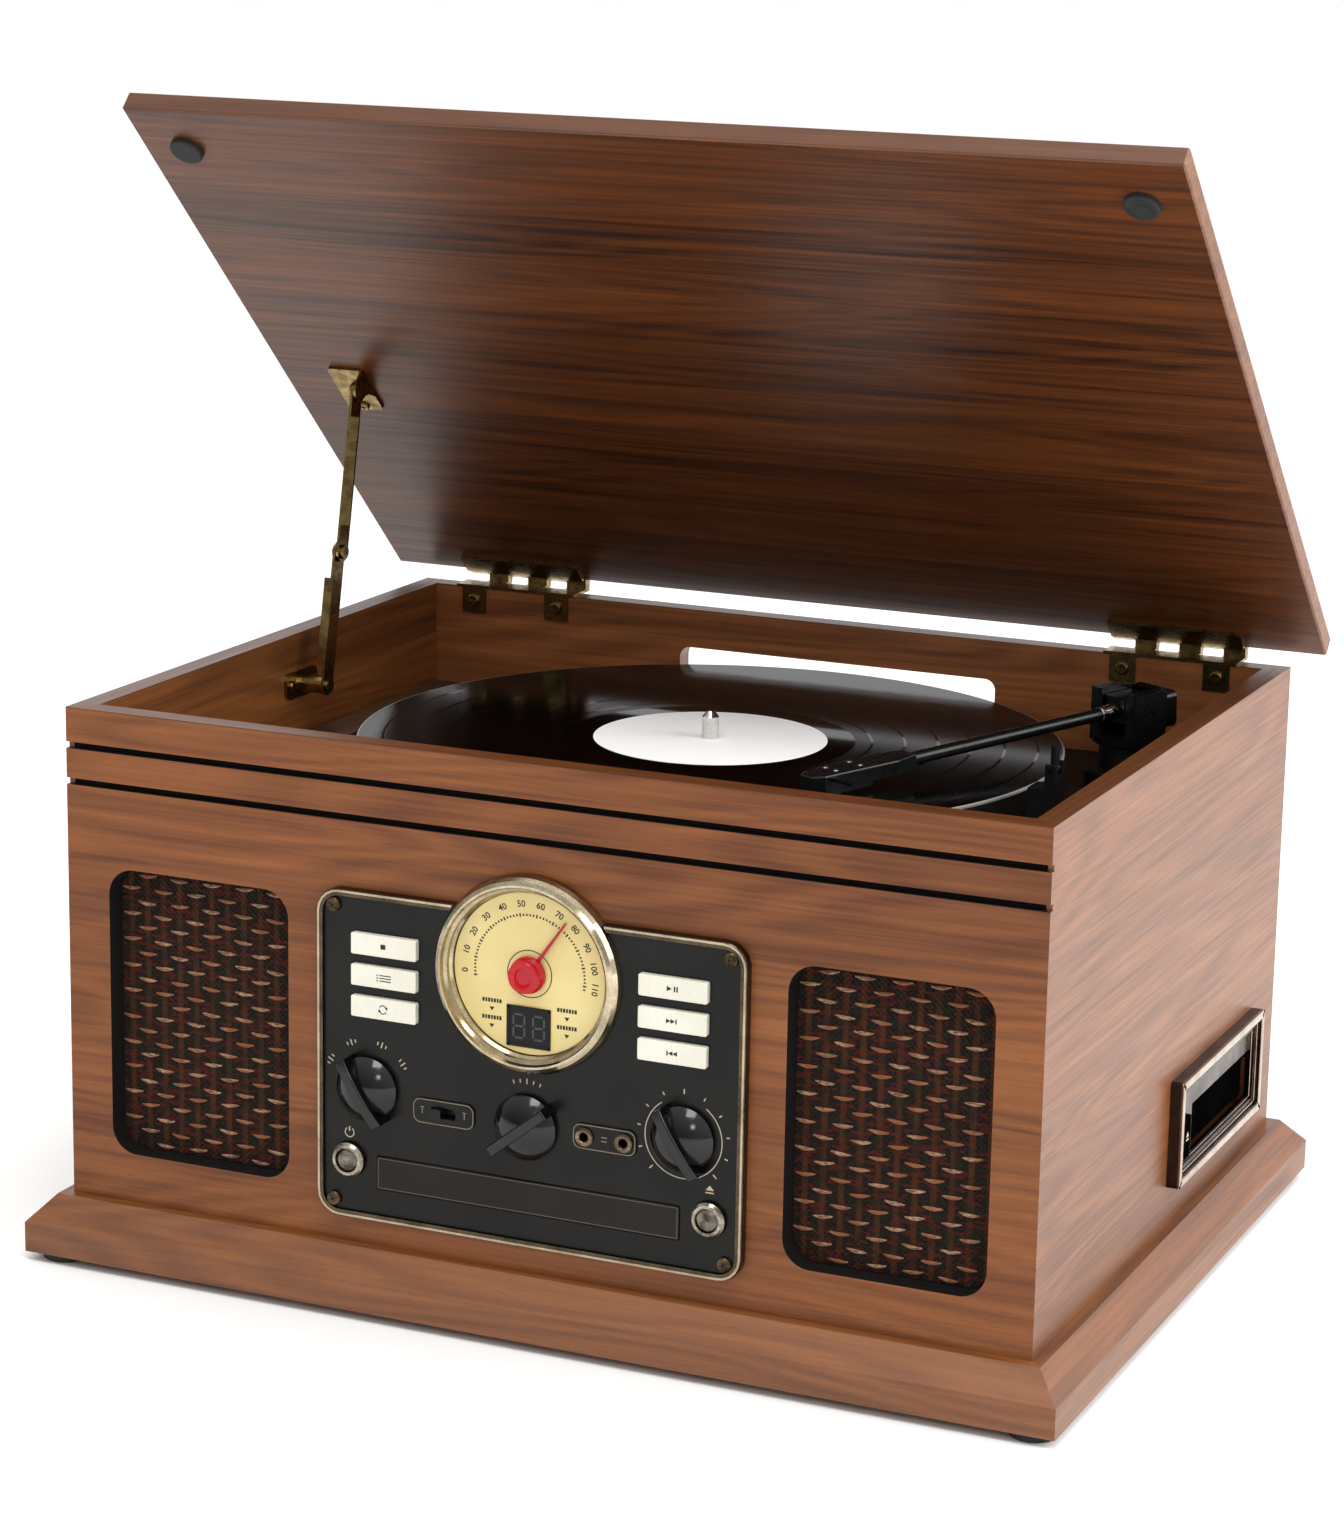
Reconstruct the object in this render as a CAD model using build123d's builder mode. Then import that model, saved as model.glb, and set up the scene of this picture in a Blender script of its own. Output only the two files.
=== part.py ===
from build123d import *
from math import asin, atan2, cos, degrees, hypot, radians, sin
import os

# Turntable music centre: a wooden cabinet with a hinged lid, a record deck in its
# well, a radio and disc panel on the front and a tape slot on the right side.
# Millimetres. +X right, -Y front, +Z up. The origin is on the ground, under the
# middle of the base. The rest pose is the lid held open by its stay.

# Cabinet
foot_height = 4.0
foot_radius = 10.0
base_width = 455.0
base_depth = 351.0
base_height = 24.0
base_edge = 12.8
base_ledge = 4.9
base_step = 15.0
body_width = base_width - 2 * base_step
body_depth = base_depth - 2 * base_step
body_height = 209.0
wall = 10.0
bottom_thick = 9.0
groove_depth = 2.5
groove_width = 2.8
groove_drops = (15.9, 31.1)
arris = 0.8

# Lid and its hinges
lid_side_overhang = 15.5
lid_front_overhang = 15.0
lid_rear_overhang = 2.0
lid_width = body_width + 2 * lid_side_overhang
lid_depth = body_depth + lid_front_overhang + lid_rear_overhang
lid_thick = 9.0
lid_gap = 3.0
lid_open_angle = 43.0
hinge_behind_lid = 3.45
hinge_above_inner = 3.1
hinge_length = 61.0
hinge_from_side = 51.9
hinge_spread = body_width / 2 - hinge_from_side
barrel_radius = 2.6
pin_radius = 1.2
leaf_thick = 1.2
leaf_depth = 11.5
leaf_tab = 12.0
leaf_screw_spread = 43.0
leaf_screw_drop = 6.0
bumper_radius = 7.25
bumper_height = 2.7
bumper_from_side = 21.0
bumper_from_front = 24.5
bumper_spread = lid_width / 2 - bumper_from_side
bumper_reach = lid_depth - bumper_from_front

# Lid stay
stay_from_rear = 143.8
stay_wall_y = body_depth / 2 - stay_from_rear
stay_below_top = 22.8
stay_lid_reach = 155.8
stay_lid_drop = 7.6
stay_lower_length = 60.0
stay_width = 9.0
stay_thick = 1.2
stay_layer_gap = 0.3
stay_wall_offset = 13.3
stay_pin_radius = 1.8
stay_flange = 4.2
bracket_thick = 1.5
rivet_radius = 3.2
rivet_height = 1.2
bracket_screw = 9.5
lid_bracket_screws = (10.0, 21.0)

# Record slot in the rear wall
slot_width = 155.0
slot_height = 16.1
slot_low = 203.0
slot_shift = 2.2
slot_corner = 5.0

# Deck
deck_below_top = 47.0
deck_thick = 10.0
chassis_gap = 4.5
chassis_left_gap = 24.5
chassis_width = body_width - 2 * wall - chassis_gap - chassis_left_gap
chassis_depth = body_depth - 2 * wall - 2 * chassis_gap
chassis_shift = (chassis_left_gap - chassis_gap) / 2
chassis_right = chassis_shift + chassis_width / 2
chassis_thick = 3.0
chassis_corner = 8.0
chassis_skirt = 10.0
platter_x = 1.0
platter_from_rear = 150.0
platter_y = body_depth / 2 - platter_from_rear
platter_radius = 100.0
platter_height = 13.0
platter_top_wall = 4.0
platter_rim_wall = 4.0
bearing_radius = 9.0
bearing_height = 2.5
mat_radius = 98.0
mat_thick = 2.0
record_radius = 150.8
record_thick = 1.6
label_radius = 50.0
label_raise = 0.15
spindle_radius = 3.6
spindle_neck = 3.0
spindle_shaft = 3.9
spindle_above_record = 12.0
spindle_taper = 2.5
ring_radius = 66.0
ring_wall = 4.0
pulley_radius = 6.0
pulley_distance = 81.0
pulley_angle = 225.0
motor_radius = 18.0
motor_height = 26.0
belt_thick = 0.8
belt_width = 4.5

# Tonearm
arm_from_side = 41.9
arm_from_rear = 58.0
arm_x = body_width / 2 - wall - arm_from_side
arm_y = body_depth / 2 - wall - arm_from_rear
arm_length = 183.2
arm_angle = -116.8
arm_tube_radius = 2.8
arm_pivot_height = 33.5
arm_slope = 2.4
arm_park_turn = 27.5
arm_rest_reach = 119.0
arm_block_width = 13.0
shell_length = 56.0
shell_width = 14.5
shell_height = 6.5
shell_socket = 10.0
lift_size = (3.0, 13.0)
lift_thick = 1.2
cartridge_size = (24.0, 9.5)
cartridge_height = 2.6
stylus_size = (5.0, 1.6)
stylus_height = 1.1
turret_radius = 15.0
turret_low = 19.0
turret_shaft = 4.0
turret_width = 27.0
turret_above_pivot = 8.5
trunnion_radius = 1.3
weight_start = 11.0
weight_length = 6.0
weight_width = 24.0
weight_height = 16.0
clip_thick = 1.8
clip_reach = 10.0
cue_length = 28.0
cue_rise = 20.0
cue_height = 6.0
speed_travel = 13.0
speed_inset = 36.0
cue_inset = 14.0
cue_y = 26.0

# Front control panel
panel_width = 187.4
panel_height = 137.5
panel_mid = 80.5
panel_corner = 10.0
panel_thick = 3.0
trim_width = 2.75
trim_proud = 4.3
panel_screw_inset = 7.4
opening_margin = 8.2
dial_up = 44.0
dial_radius = 40.5
dial_proud = 8.0
dial_face_radius = 33.0
button_width = 29.2
button_height = 8.8
button_spread = 63.0
button_pitch = 13.0
button_up = 47.5
button_proud = 2.4
button_travel = 1.5
knob_radius = 13.5
knob_rim = 1.8
knob_dome = 8.2
knob_height = 11.4
blade_back = -15.0
blade_front = 15.5
blade_low = 9.6
blade_width = 4.4
blade_edge = 0.8
function_knob_x = -70.8
volume_knob_x = 67.8
side_knob_down = 13.0
tuning_down = 18.5
plate_length = 27.5
plate_height = 10.7
plate_thick = 0.8
switch_plate_x = -36.6
jack_plate_x = 34.2
jack_spread = 17.0
jack_bore = 1.8
jack_depth = 12.0
round_button_radius = 7.25
round_button_spread = 79.4
round_button_down = 44.2
round_button_proud = 3.0
tray_front_width = 133.5
tray_front_height = 14.0
tray_down = 48.0
tray_width = 128.0
tray_length = 142.0
tray_thick = 5.0
disc_pocket = 60.6

band_slot = 11.0
band_travel = 5.0
jack_barrel = 2.9
shaft_radius = 3.0
shaft_length = 9.0
post_spread = 82.0
post_ups = (26.0, 72.0)
post_radius = 2.5
board_depth = 12.5
board_thick = 1.6
board_up = 60.0
board_down = 24.5
button_stem = 8.0
small_corner = 0.8
push_edge = 0.45
round_edge = 1.0
round_dish_wall = 2.2
round_dish_depth = 1.5
dial_rim_cover = 4.0
dial_back = 1.5
display_size = (19.5, 17.0)
display_border = 1.0
display_raise = 0.5
display_sink = 0.4
display_drop = 21.8
dial_face_out = 1.5
pointer_shaft = 1.5
pointer_length = 28.0
pointer_turn = 35.0
hub_radius = 7.5
hub_gap = 1.0
drum_radius = 7.0
drum_back = 6.5
drum_front = 4.0
needle_root = 0.9
needle_tip = 0.35
needle_thick = 0.8
slot_height_small = 4.6
slider_size = (4.4, 4.0)
slider_flange = (12.0, 7.0)
slider_depth = 3.0
slider_proud = 2.2
jack_nut = 0.9
jack_nut_height = 1.0
plate_corner = 3.5
bushing_radius = 5.0
bushing_gap = 3.0
switch_size = (6.0, 6.0)
switch_gap = 0.6
ear_width = 7.0
ear_below = 8.0
main_board_size = (134.0, 94.0)
main_board_from_rear = 75.5
main_board_y = body_depth / 2 - main_board_from_rear
main_board_gap = 6.0
drive_below = 13.0
drive_above = 18.0
drive_wall = 2.5
drive_back_wall = 3.0
drive_post = 5.0
pocket_depth = 2.4
pocket_front = 6.0
tray_front_back = 0.5
tray_front_thick = 4.1
drive_width = 146.0
drive_behind_front = 10.3
drive_length = 152.2
drive_front = drive_behind_front - body_depth / 2
drive_rear = drive_front + drive_length

# Speakers
speaker_inner_gap = 15.3
speaker_outer_gap = 19.5
speaker_width = (body_width - panel_width) / 2 - speaker_inner_gap - speaker_outer_gap
speaker_spread = (panel_width + speaker_width) / 2 + speaker_inner_gap
speaker_mid = 82.2
speaker_height = 122.5
speaker_corner = 11.5
cloth_recess = 9.5
speaker_frame = speaker_width / 2 + 2.0
grille_lap = 6.0
grille_thick = 2.0
cloth_thick = 1.0
cone_inset = 6.0
magnet_radius = 24.0
magnet_front = 32.0
speaker_deep = 50.0
basket_radius = 28.0
basket_rear = 29.0
rim_thick = 3.0
rim_width = 5.0
roll_width = 7.5
roll_deep = 2.5
cone_throat = 12.0
cone_deep = 18.0
cap_radius = 8.0
cap_rear = 14.5
cap_front = 13.0

# Tape slot on the right side
tape_from_rear = 93.3
tape_mid = body_depth / 2 - tape_from_rear
tape_up = 39.5
tape_length = 120.5
tape_height = 46.2
tape_proud = 5.5
tape_opening_length = 87.0
tape_opening_height = 21.5
tape_opening_shift = 9.3
tape_opening_drop = 4.2
tape_button_size = (9.4, 18.4)
tape_button_inset = 12.5
tape_button_proud = 4.5
tape_button_stem = 6.0
tape_drive_deep = 63.0
tape_drive_wall = 3.0
tape_steps = ((4.0, 2.0), (7.0, 3.6))
flap_pin = 0.9
flap_hub = 1.5
flap_pin_reach = 3.0
flap_thick = 1.6
flap_ear = (2.6, 6.0)
flap_ear_depth = 4.5

# Rear sockets
rear_plate_x = -95.0
rear_plate_up = 62.0
rear_plate_width = 74.0
rear_plate_height = 46.0
rca_radius = 4.15
rca_length = 8.5
inlet_radius = 5.0
inlet_bore = 2.85
inlet_pin = 1.0
inlet_proud = 2.5
inlet_deep = 11.5
inlet_bore_depth = 9.5
rear_plate_thick = 1.5
rear_plate_lip = 6.0
rca_bore = 1.65
rca_barrel = 2.3
rca_base = 5.6
rca_back = 12.0

# Wood screws
screw_shank = 1.4
screw_length = 6.0
pilot_depth = 7.5
leaf_screw_head = 3.0
panel_screw_head = 2.9
bracket_screw_head = 2.6
screw_head_height = 1.6

clear = 0.3
running = 0.06

# Places that follow from the sizes above
body_low = foot_height + base_height
body_top = body_low + body_height
front_y = -body_depth / 2
rear_y = body_depth / 2
inner_x = body_width / 2 - wall
inner_y = body_depth / 2 - wall
lid_low = body_top + lid_gap
hinge_y = rear_y + lid_rear_overhang + hinge_behind_lid
hinge_z = lid_low + hinge_above_inner
deck_top = body_top - deck_below_top
chassis_top = deck_top + chassis_thick
platter_low = chassis_top + bearing_height + clear
platter_top = platter_low + platter_height
record_low = platter_top + mat_thick
record_top = record_low + record_thick
panel_z = body_low + panel_mid
dial_z = panel_z + dial_up
panel_front = front_y - panel_thick
speaker_z = body_low + speaker_mid
tape_z = body_low + tape_up
tape_opening_y = tape_mid + tape_opening_shift
tape_opening_z = tape_z - tape_opening_drop
tape_button_y = tape_mid - tape_length / 2 + tape_button_inset
flap_x = body_width / 2 - 2.6
flap_z = tape_opening_z + tape_opening_height / 2 - 1.8

FRONT = Plane(origin=(0, front_y, 0), x_dir=(1, 0, 0), z_dir=(0, -1, 0))
REAR = Plane(origin=(0, rear_y, 0), x_dir=(-1, 0, 0), z_dir=(0, 1, 0))
RIGHT = Plane(origin=(body_width / 2, 0, 0), x_dir=(0, 1, 0), z_dir=(1, 0, 0))
open_tilt = radians(lid_open_angle)
LID = Plane(
    origin=(0, hinge_y, hinge_z),
    x_dir=(1, 0, 0),
    z_dir=(0, sin(open_tilt), cos(open_tilt)),
)

REAR_INSIDE = Plane(origin=(0, inner_y, 0), x_dir=(1, 0, 0), z_dir=(0, -1, 0))
LEFT_INSIDE = Plane(origin=(-inner_x, 0, 0), x_dir=(0, 1, 0), z_dir=(1, 0, 0))
LID_INSIDE = Plane(
    origin=LID.from_local_coords((0, 0, -hinge_above_inner)),
    x_dir=(1, 0, 0),
    z_dir=-LID.z_dir,
)

# Where screws go, as places on those planes
hinge_middles = (-hinge_spread, hinge_spread)
screw_offsets = (-leaf_screw_spread / 2, leaf_screw_spread / 2)
leaf_screw_xs = [middle + offset for middle in hinge_middles for offset in screw_offsets]
rear_screws = [(x, body_top - leaf_screw_drop) for x in leaf_screw_xs]
stay_z = body_top - stay_below_top
stay_screws = [(stay_wall_y + offset, stay_z) for offset in (-bracket_screw, bracket_screw)]
lid_leaf_y = hinge_behind_lid + leaf_depth * 0.55
lid_leaf_screws = [(x, lid_leaf_y) for x in leaf_screw_xs]
stay_lid_y = hinge_behind_lid + stay_lid_reach
stay_plate_x = -inner_x + stay_wall_offset - 4.5
stay_lid_screws = [(stay_plate_x, stay_lid_y - step) for step in lid_bracket_screws]
panel_screw_x = panel_width / 2 - panel_screw_inset
panel_screw_z = panel_height / 2 - panel_screw_inset + 0.5
panel_screws = [
    (sx * panel_screw_x, panel_z + sz * panel_screw_z) for sx in (-1, 1) for sz in (-1, 1)
]

os.makedirs("parts", exist_ok=True)


def write(piece, name):
    piece.part.label = name
    export_step(piece.part, f"parts/{name}.step")


def write_group(pieces, name):
    group = Compound(label=name, children=pieces)
    export_step(group, f"parts/{name}.step")


def rounded_block(plane, place, size, radius, depth, mode=Mode.ADD):
    with BuildSketch(plane) as outline:
        with Locations(place):
            RectangleRounded(size[0], size[1], radius)
    extrude(outline.sketch, amount=depth, mode=mode)


def plain_block(plane, place, size, depth, mode=Mode.ADD):
    with BuildSketch(plane) as outline:
        with Locations(place):
            Rectangle(size[0], size[1])
    extrude(outline.sketch, amount=depth, mode=mode)


def round_block(plane, place, radius, depth, mode=Mode.ADD):
    with BuildSketch(plane) as outline:
        with Locations(place):
            Circle(radius)
    extrude(outline.sketch, amount=depth, mode=mode)


def frame_side(side, width, depth, inner_width, inner_depth):
    """Plan outline of one mitred side: 0 front, 1 right, 2 rear, 3 left."""
    signs = ((-1, -1), (1, -1), (1, 1), (-1, 1))
    outer = [(sx * width / 2, sy * depth / 2) for sx, sy in signs]
    inner = [(sx * inner_width / 2, sy * inner_depth / 2) for sx, sy in signs]
    after = (side + 1) % 4
    return [outer[side], outer[after], inner[after], inner[side]]


def cabinet_wall(side):
    points = frame_side(side, body_width, body_depth, 2 * inner_x, 2 * inner_y)
    with BuildSketch(Plane.XY.offset(body_low)) as outline:
        with BuildLine():
            Polyline(*points, close=True)
        make_face()
    extrude(outline.sketch, amount=body_height)


def front_grooves():
    for drop in groove_drops:
        place = (0, body_top - drop)
        size = (body_width + 2 * wall, groove_width)
        plain_block(FRONT, place, size, -groove_depth, Mode.SUBTRACT)


def pilot_holes(plane, places, depth=pilot_depth):
    for place in places:
        round_block(plane, place, screw_shank + running, -depth, Mode.SUBTRACT)


def screw(plane, head_radius, head_height, shank_radius, shank_length):
    with BuildPart() as piece:
        round_block(plane, (0, 0), head_radius, head_height)
        outward = Axis(plane.origin, plane.z_dir)
        fillet(piece.faces().sort_by(outward)[-1].edges(), head_height * 0.45)
        round_block(plane, (0, 0), shank_radius, -shank_length)
        cross = plane.offset(head_height)
        long_cut = head_radius * 1.1
        cut_width = head_radius * 0.24
        plain_block(cross, (0, 0), (long_cut, cut_width), -head_height / 2, Mode.SUBTRACT)
        plain_block(cross, (0, 0), (cut_width, long_cut), -head_height / 2, Mode.SUBTRACT)
    return piece.part


# Cabinet walls
with BuildPart() as front_panel:
    cabinet_wall(0)
    front_grooves()
    for side in (-1, 1):
        place = (side * speaker_spread, speaker_z)
        size = (speaker_width, speaker_height)
        rounded_block(FRONT, place, size, speaker_corner, -wall, Mode.SUBTRACT)
    size = (panel_width - 2 * opening_margin, panel_height - 2 * opening_margin)
    rounded_block(FRONT, (0, panel_z), size, panel_corner / 2, -wall, Mode.SUBTRACT)
    round_block(FRONT, (0, dial_z), dial_radius - 3.5, -wall, Mode.SUBTRACT)
    for side in (-1, 1):
        place = (side * round_button_spread, panel_z - round_button_down)
        round_block(FRONT, place, round_button_radius + 1, -wall, Mode.SUBTRACT)
    pilot_holes(FRONT, panel_screws)
write(front_panel, "front_panel")

with BuildPart() as right_panel:
    cabinet_wall(1)
    front_grooves()
    place = (tape_mid, tape_z)
    size = (tape_length - 8, tape_height - 8)
    rounded_block(RIGHT, place, size, 2, -wall, Mode.SUBTRACT)
write(right_panel, "right_panel")

with BuildPart() as left_panel:
    cabinet_wall(3)
    front_grooves()
    pilot_holes(LEFT_INSIDE, stay_screws)
write(left_panel, "left_panel")

with BuildPart() as rear_panel:
    cabinet_wall(2)
    place = (-slot_shift, slot_low + slot_height / 2)
    rounded_block(REAR, place, (slot_width, slot_height), slot_corner, -wall, Mode.SUBTRACT)
    place = (-rear_plate_x, body_low + rear_plate_up)
    size = (rear_plate_width - 12, rear_plate_height - 12)
    rounded_block(REAR, place, size, 3, -wall, Mode.SUBTRACT)
    pilot_holes(REAR_INSIDE, rear_screws)
write(rear_panel, "rear_panel")


def base_board(side):
    inner = (2 * inner_x, 2 * inner_y)
    ledge = (body_width + 2 * base_ledge, body_depth + 2 * base_ledge)
    low = frame_side(side, base_width, base_depth, *inner)
    high = frame_side(side, ledge[0], ledge[1], *inner)
    with BuildPart() as board:
        with BuildSketch(Plane.XY.offset(foot_height)):
            with BuildLine():
                Polyline(*low, close=True)
            make_face()
        extrude(amount=base_edge)
        with BuildSketch(Plane.XY.offset(foot_height + base_edge)):
            with BuildLine():
                Polyline(*low, close=True)
            make_face()
        with BuildSketch(Plane.XY.offset(body_low)):
            with BuildLine():
                Polyline(*high, close=True)
            make_face()
        loft(ruled=True)
    return board.part


write_group([base_board(side) for side in range(4)], "base_mouldings")

with BuildPart() as bottom_board:
    plain_block(Plane.XY.offset(body_low - bottom_thick), (0, 0), (2 * inner_x, 2 * inner_y), bottom_thick)


def foot(place):
    with BuildPart() as piece:
        round_block(Plane.XY, place, foot_radius, foot_height)
        chamfer(piece.faces().sort_by(Axis.Z)[0].edges(), 0.8)
    return piece.part


foot_x = (base_width / 2 + inner_x) / 2
foot_y = (base_depth / 2 + inner_y) / 2
foot_places = [(sx * foot_x, sy * foot_y) for sx in (-1, 1) for sy in (-1, 1)]
write_group([foot(place) for place in foot_places], "feet")

# Deck board and chassis plate
chassis_window = (chassis_width - 16, chassis_depth - 16)
with BuildPart() as deck_board:
    plane = Plane.XY.offset(deck_top - deck_thick)
    plain_block(plane, (0, 0), (2 * inner_x, 2 * inner_y), deck_thick)
    rounded_block(plane, (chassis_shift, 0), chassis_window, 6, deck_thick, Mode.SUBTRACT)
write_group([deck_board.part, bottom_board.part], "cabinet_boards")

pulley_x = platter_x + pulley_distance * cos(radians(pulley_angle))
pulley_y = platter_y + pulley_distance * sin(radians(pulley_angle))
speed_place = (chassis_right - speed_inset, speed_inset - 2 - chassis_depth / 2)
cue_place = (chassis_right - cue_inset, cue_y)
cue_z = chassis_top + cue_height

# The arm's rest stands where the parked tube passes
park_angle = radians(arm_angle + arm_park_turn)
rest_x = arm_x + arm_rest_reach * cos(park_angle)
rest_y = arm_y + arm_rest_reach * sin(park_angle)
rest_axis_z = chassis_top + arm_pivot_height - arm_rest_reach * sin(radians(arm_slope))
rest_top = rest_axis_z - arm_tube_radius - 0.5
lip_left = rest_x + arm_tube_radius + 0.7
clip_x = lip_left + 2.2
clip_z = rest_axis_z + arm_tube_radius + 0.5 + clip_thick / 2

with BuildPart() as chassis_plate:
    plane = Plane.XY.offset(deck_top)
    rounded_block(plane, (chassis_shift, 0), (chassis_width, chassis_depth), chassis_corner, chassis_thick)
    fillet(chassis_plate.faces().sort_by(Axis.Z)[-1].edges(), 1.0)
    outer = (chassis_window[0] - 2 * clear, chassis_window[1] - 2 * clear)
    inner = (outer[0] - 5, outer[1] - 5)
    rounded_block(plane, (chassis_shift, 0), outer, 5.5, -chassis_skirt)
    rounded_block(plane, (chassis_shift, 0), inner, 3, -chassis_skirt, Mode.SUBTRACT)
    centre = (platter_x, platter_y)
    round_block(plane, centre, bearing_radius, chassis_thick + bearing_height)
    round_block(plane, centre, spindle_shaft + running, chassis_thick + bearing_height, Mode.SUBTRACT)
    round_block(plane, (pulley_x, pulley_y), 3.0, chassis_thick, Mode.SUBTRACT)
    rounded_block(plane, speed_place, (6, 22), 2.9, chassis_thick, Mode.SUBTRACT)
    rounded_block(plane, cue_place, (7, 22), 1.5, chassis_thick, Mode.SUBTRACT)
    round_block(plane, (arm_x, arm_y), 5, chassis_thick, Mode.SUBTRACT)
    top = Plane.XY.offset(chassis_top)
    rest_post = rest_top - chassis_top
    plain_block(top, (rest_x + 1, rest_y), (9, 12), rest_post)
    lip = clip_z + 2.4 - chassis_top
    plain_block(top, (lip_left + 2.2, rest_y), (4.4, 12), lip)
    cradle = top.offset(lip)
    plain_block(cradle, (lip_left + 2.2, rest_y), (4.4, 6 + 2 * clear), -5, Mode.SUBTRACT)
    pin_line = Plane(origin=(clip_x, rest_y - 7, clip_z), x_dir=(1, 0, 0), z_dir=(0, 1, 0))
    round_block(pin_line, (0, 0), 0.9 + running, 14, Mode.SUBTRACT)
    for side in (-1, 1):
        ear = (cue_place[0] + side * 4.4, cue_place[1])
        plain_block(top, ear, (2, 8), cue_height + 3)
    cue_line = Plane(
        origin=(cue_place[0] - 7, cue_place[1], cue_z),
        x_dir=(0, -1, 0),
        z_dir=(1, 0, 0),
    )
    round_block(cue_line, (0, 0), 1.1 + running, 14, Mode.SUBTRACT)
write(chassis_plate, "chassis_plate")

# Platter, mat, record and spindle
record_plane = Plane(origin=(platter_x, platter_y, 0), x_dir=(1, 0, 0), z_dir=(0, -1, 0))
record_axis = Axis((platter_x, platter_y, 0), (0, 0, 1))
bore = spindle_radius + running
shaft_bore = spindle_shaft + running

with BuildPart() as platter:
    top = platter_top
    under = platter_top - platter_top_wall
    with BuildSketch(record_plane):
        with BuildLine():
            Polyline(
                (shaft_bore, platter_low),
                (bearing_radius, platter_low),
                (bearing_radius, under),
                (ring_radius - ring_wall, under),
                (ring_radius - ring_wall, platter_low + 1.5),
                (ring_radius, platter_low + 1.5),
                (ring_radius, under),
                (platter_radius - platter_rim_wall, under),
                (platter_radius - platter_rim_wall, platter_low + 1.0),
                (platter_radius - 1.5, platter_low + 1.0),
                (platter_radius, platter_low + 4.0),
                (platter_radius, top - 1.0),
                (platter_radius - 1.0, top),
                (shaft_bore, top),
                close=True,
            )
        make_face()
    revolve(axis=record_axis)
write(platter, "platter")

with BuildPart() as mat:
    plane = Plane.XY.offset(platter_top)
    round_block(plane, (platter_x, platter_y), mat_radius, mat_thick)
    round_block(plane, (platter_x, platter_y), shaft_bore, mat_thick, Mode.SUBTRACT)
write(mat, "mat")

with BuildPart() as record:
    with BuildSketch(record_plane):
        with BuildLine():
            Polyline(
                (bore, record_low),
                (record_radius - 0.4, record_low),
                (record_radius, record_low + 0.4),
                (record_radius, record_top - 0.4),
                (record_radius - 0.4, record_top),
                (label_radius, record_top),
                (label_radius, record_top + label_raise),
                (bore, record_top + label_raise),
                close=True,
            )
        make_face()
    revolve(axis=record_axis)
write(record, "record")

spindle_top = record_top + spindle_above_record
with BuildPart() as spindle:
    flange_top = deck_top
    pin_low = record_top + label_raise + 0.05
    with BuildSketch(record_plane):
        with BuildLine():
            Polyline(
                (0, flange_top - 14),
                (spindle_shaft, flange_top - 14),
                (spindle_shaft, flange_top - 4),
                (bearing_radius, flange_top - 4),
                (bearing_radius, flange_top),
                (spindle_shaft, flange_top),
                (spindle_shaft, record_low),
                (spindle_neck, record_low),
                (spindle_neck, pin_low),
                (spindle_radius, pin_low),
                (spindle_radius, spindle_top - spindle_taper),
                (1.6, spindle_top),
                (0, spindle_top),
                close=True,
            )
        make_face()
    revolve(axis=record_axis)
write(spindle, "spindle")

# Motor, pulley and belt
with BuildPart() as motor:
    place = (pulley_x, pulley_y)
    plane = Plane.XY.offset(deck_top)
    round_block(plane, place, motor_radius, -motor_height)
    fillet(motor.faces().sort_by(Axis.Z)[0].edges(), 1.5)
    plain_block(plane.offset(-3), place, (2 * motor_radius + 16, 14), 3)
    round_block(plane, place, 1.6, -motor_height / 2, Mode.SUBTRACT)
write(motor, "motor")

belt_low = platter_low + 2.2
pulley_rim = pulley_radius + 1.0
pulley_axis = Axis((pulley_x, pulley_y, 0), (0, 0, 1))
pulley_plane = Plane(origin=(pulley_x, pulley_y, 0), x_dir=(1, 0, 0), z_dir=(0, -1, 0))
with BuildPart() as motor_pulley:
    with BuildSketch(pulley_plane):
        with BuildLine():
            Polyline(
                (0, deck_top - motor_height / 2 + 1),
                (1.5, deck_top - motor_height / 2 + 1),
                (1.5, belt_low - 1.4),
                (pulley_rim, belt_low - 1.4),
                (pulley_rim, belt_low - clear),
                (pulley_radius, belt_low - clear),
                (pulley_radius, belt_low + belt_width + clear),
                (pulley_rim, belt_low + belt_width + clear),
                (pulley_rim, belt_low + belt_width + 1.2),
                (0, belt_low + belt_width + 1.2),
                close=True,
            )
        make_face()
    revolve(axis=pulley_axis)
write(motor_pulley, "motor_pulley")


def belt_outline(grow):
    with BuildSketch(Plane.XY.offset(belt_low)) as outline:
        with Locations((platter_x, platter_y)):
            Circle(ring_radius + grow)
        with Locations((pulley_x, pulley_y)):
            Circle(pulley_radius + grow)
        make_hull()
    return outline.sketch


with BuildPart() as drive_belt:
    extrude(belt_outline(clear + belt_thick), amount=belt_width)
    extrude(belt_outline(clear), amount=belt_width, mode=Mode.SUBTRACT)
write(drive_belt, "drive_belt")

# Lid, bumpers and hinges
with BuildPart() as lid:
    middle = hinge_behind_lid + lid_depth / 2
    plain_block(LID_INSIDE, (0, middle), (lid_width, lid_depth), -lid_thick)
    chamfer(lid.edges(), arris)
    pilot_holes(LID_INSIDE, lid_leaf_screws + stay_lid_screws, screw_length + 0.5)
write(lid, "lid")


def bumper(x):
    with BuildPart() as piece:
        place = (x, hinge_behind_lid + bumper_reach)
        round_block(LID_INSIDE, place, bumper_radius, bumper_height)
        outward = Axis(LID_INSIDE.origin, LID_INSIDE.z_dir)
        fillet(piece.faces().sort_by(outward)[-1].edges(), 1.0)
    return piece.part


write_group([bumper(x) for x in (-bumper_spread, bumper_spread)], "lid_bumpers")

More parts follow.
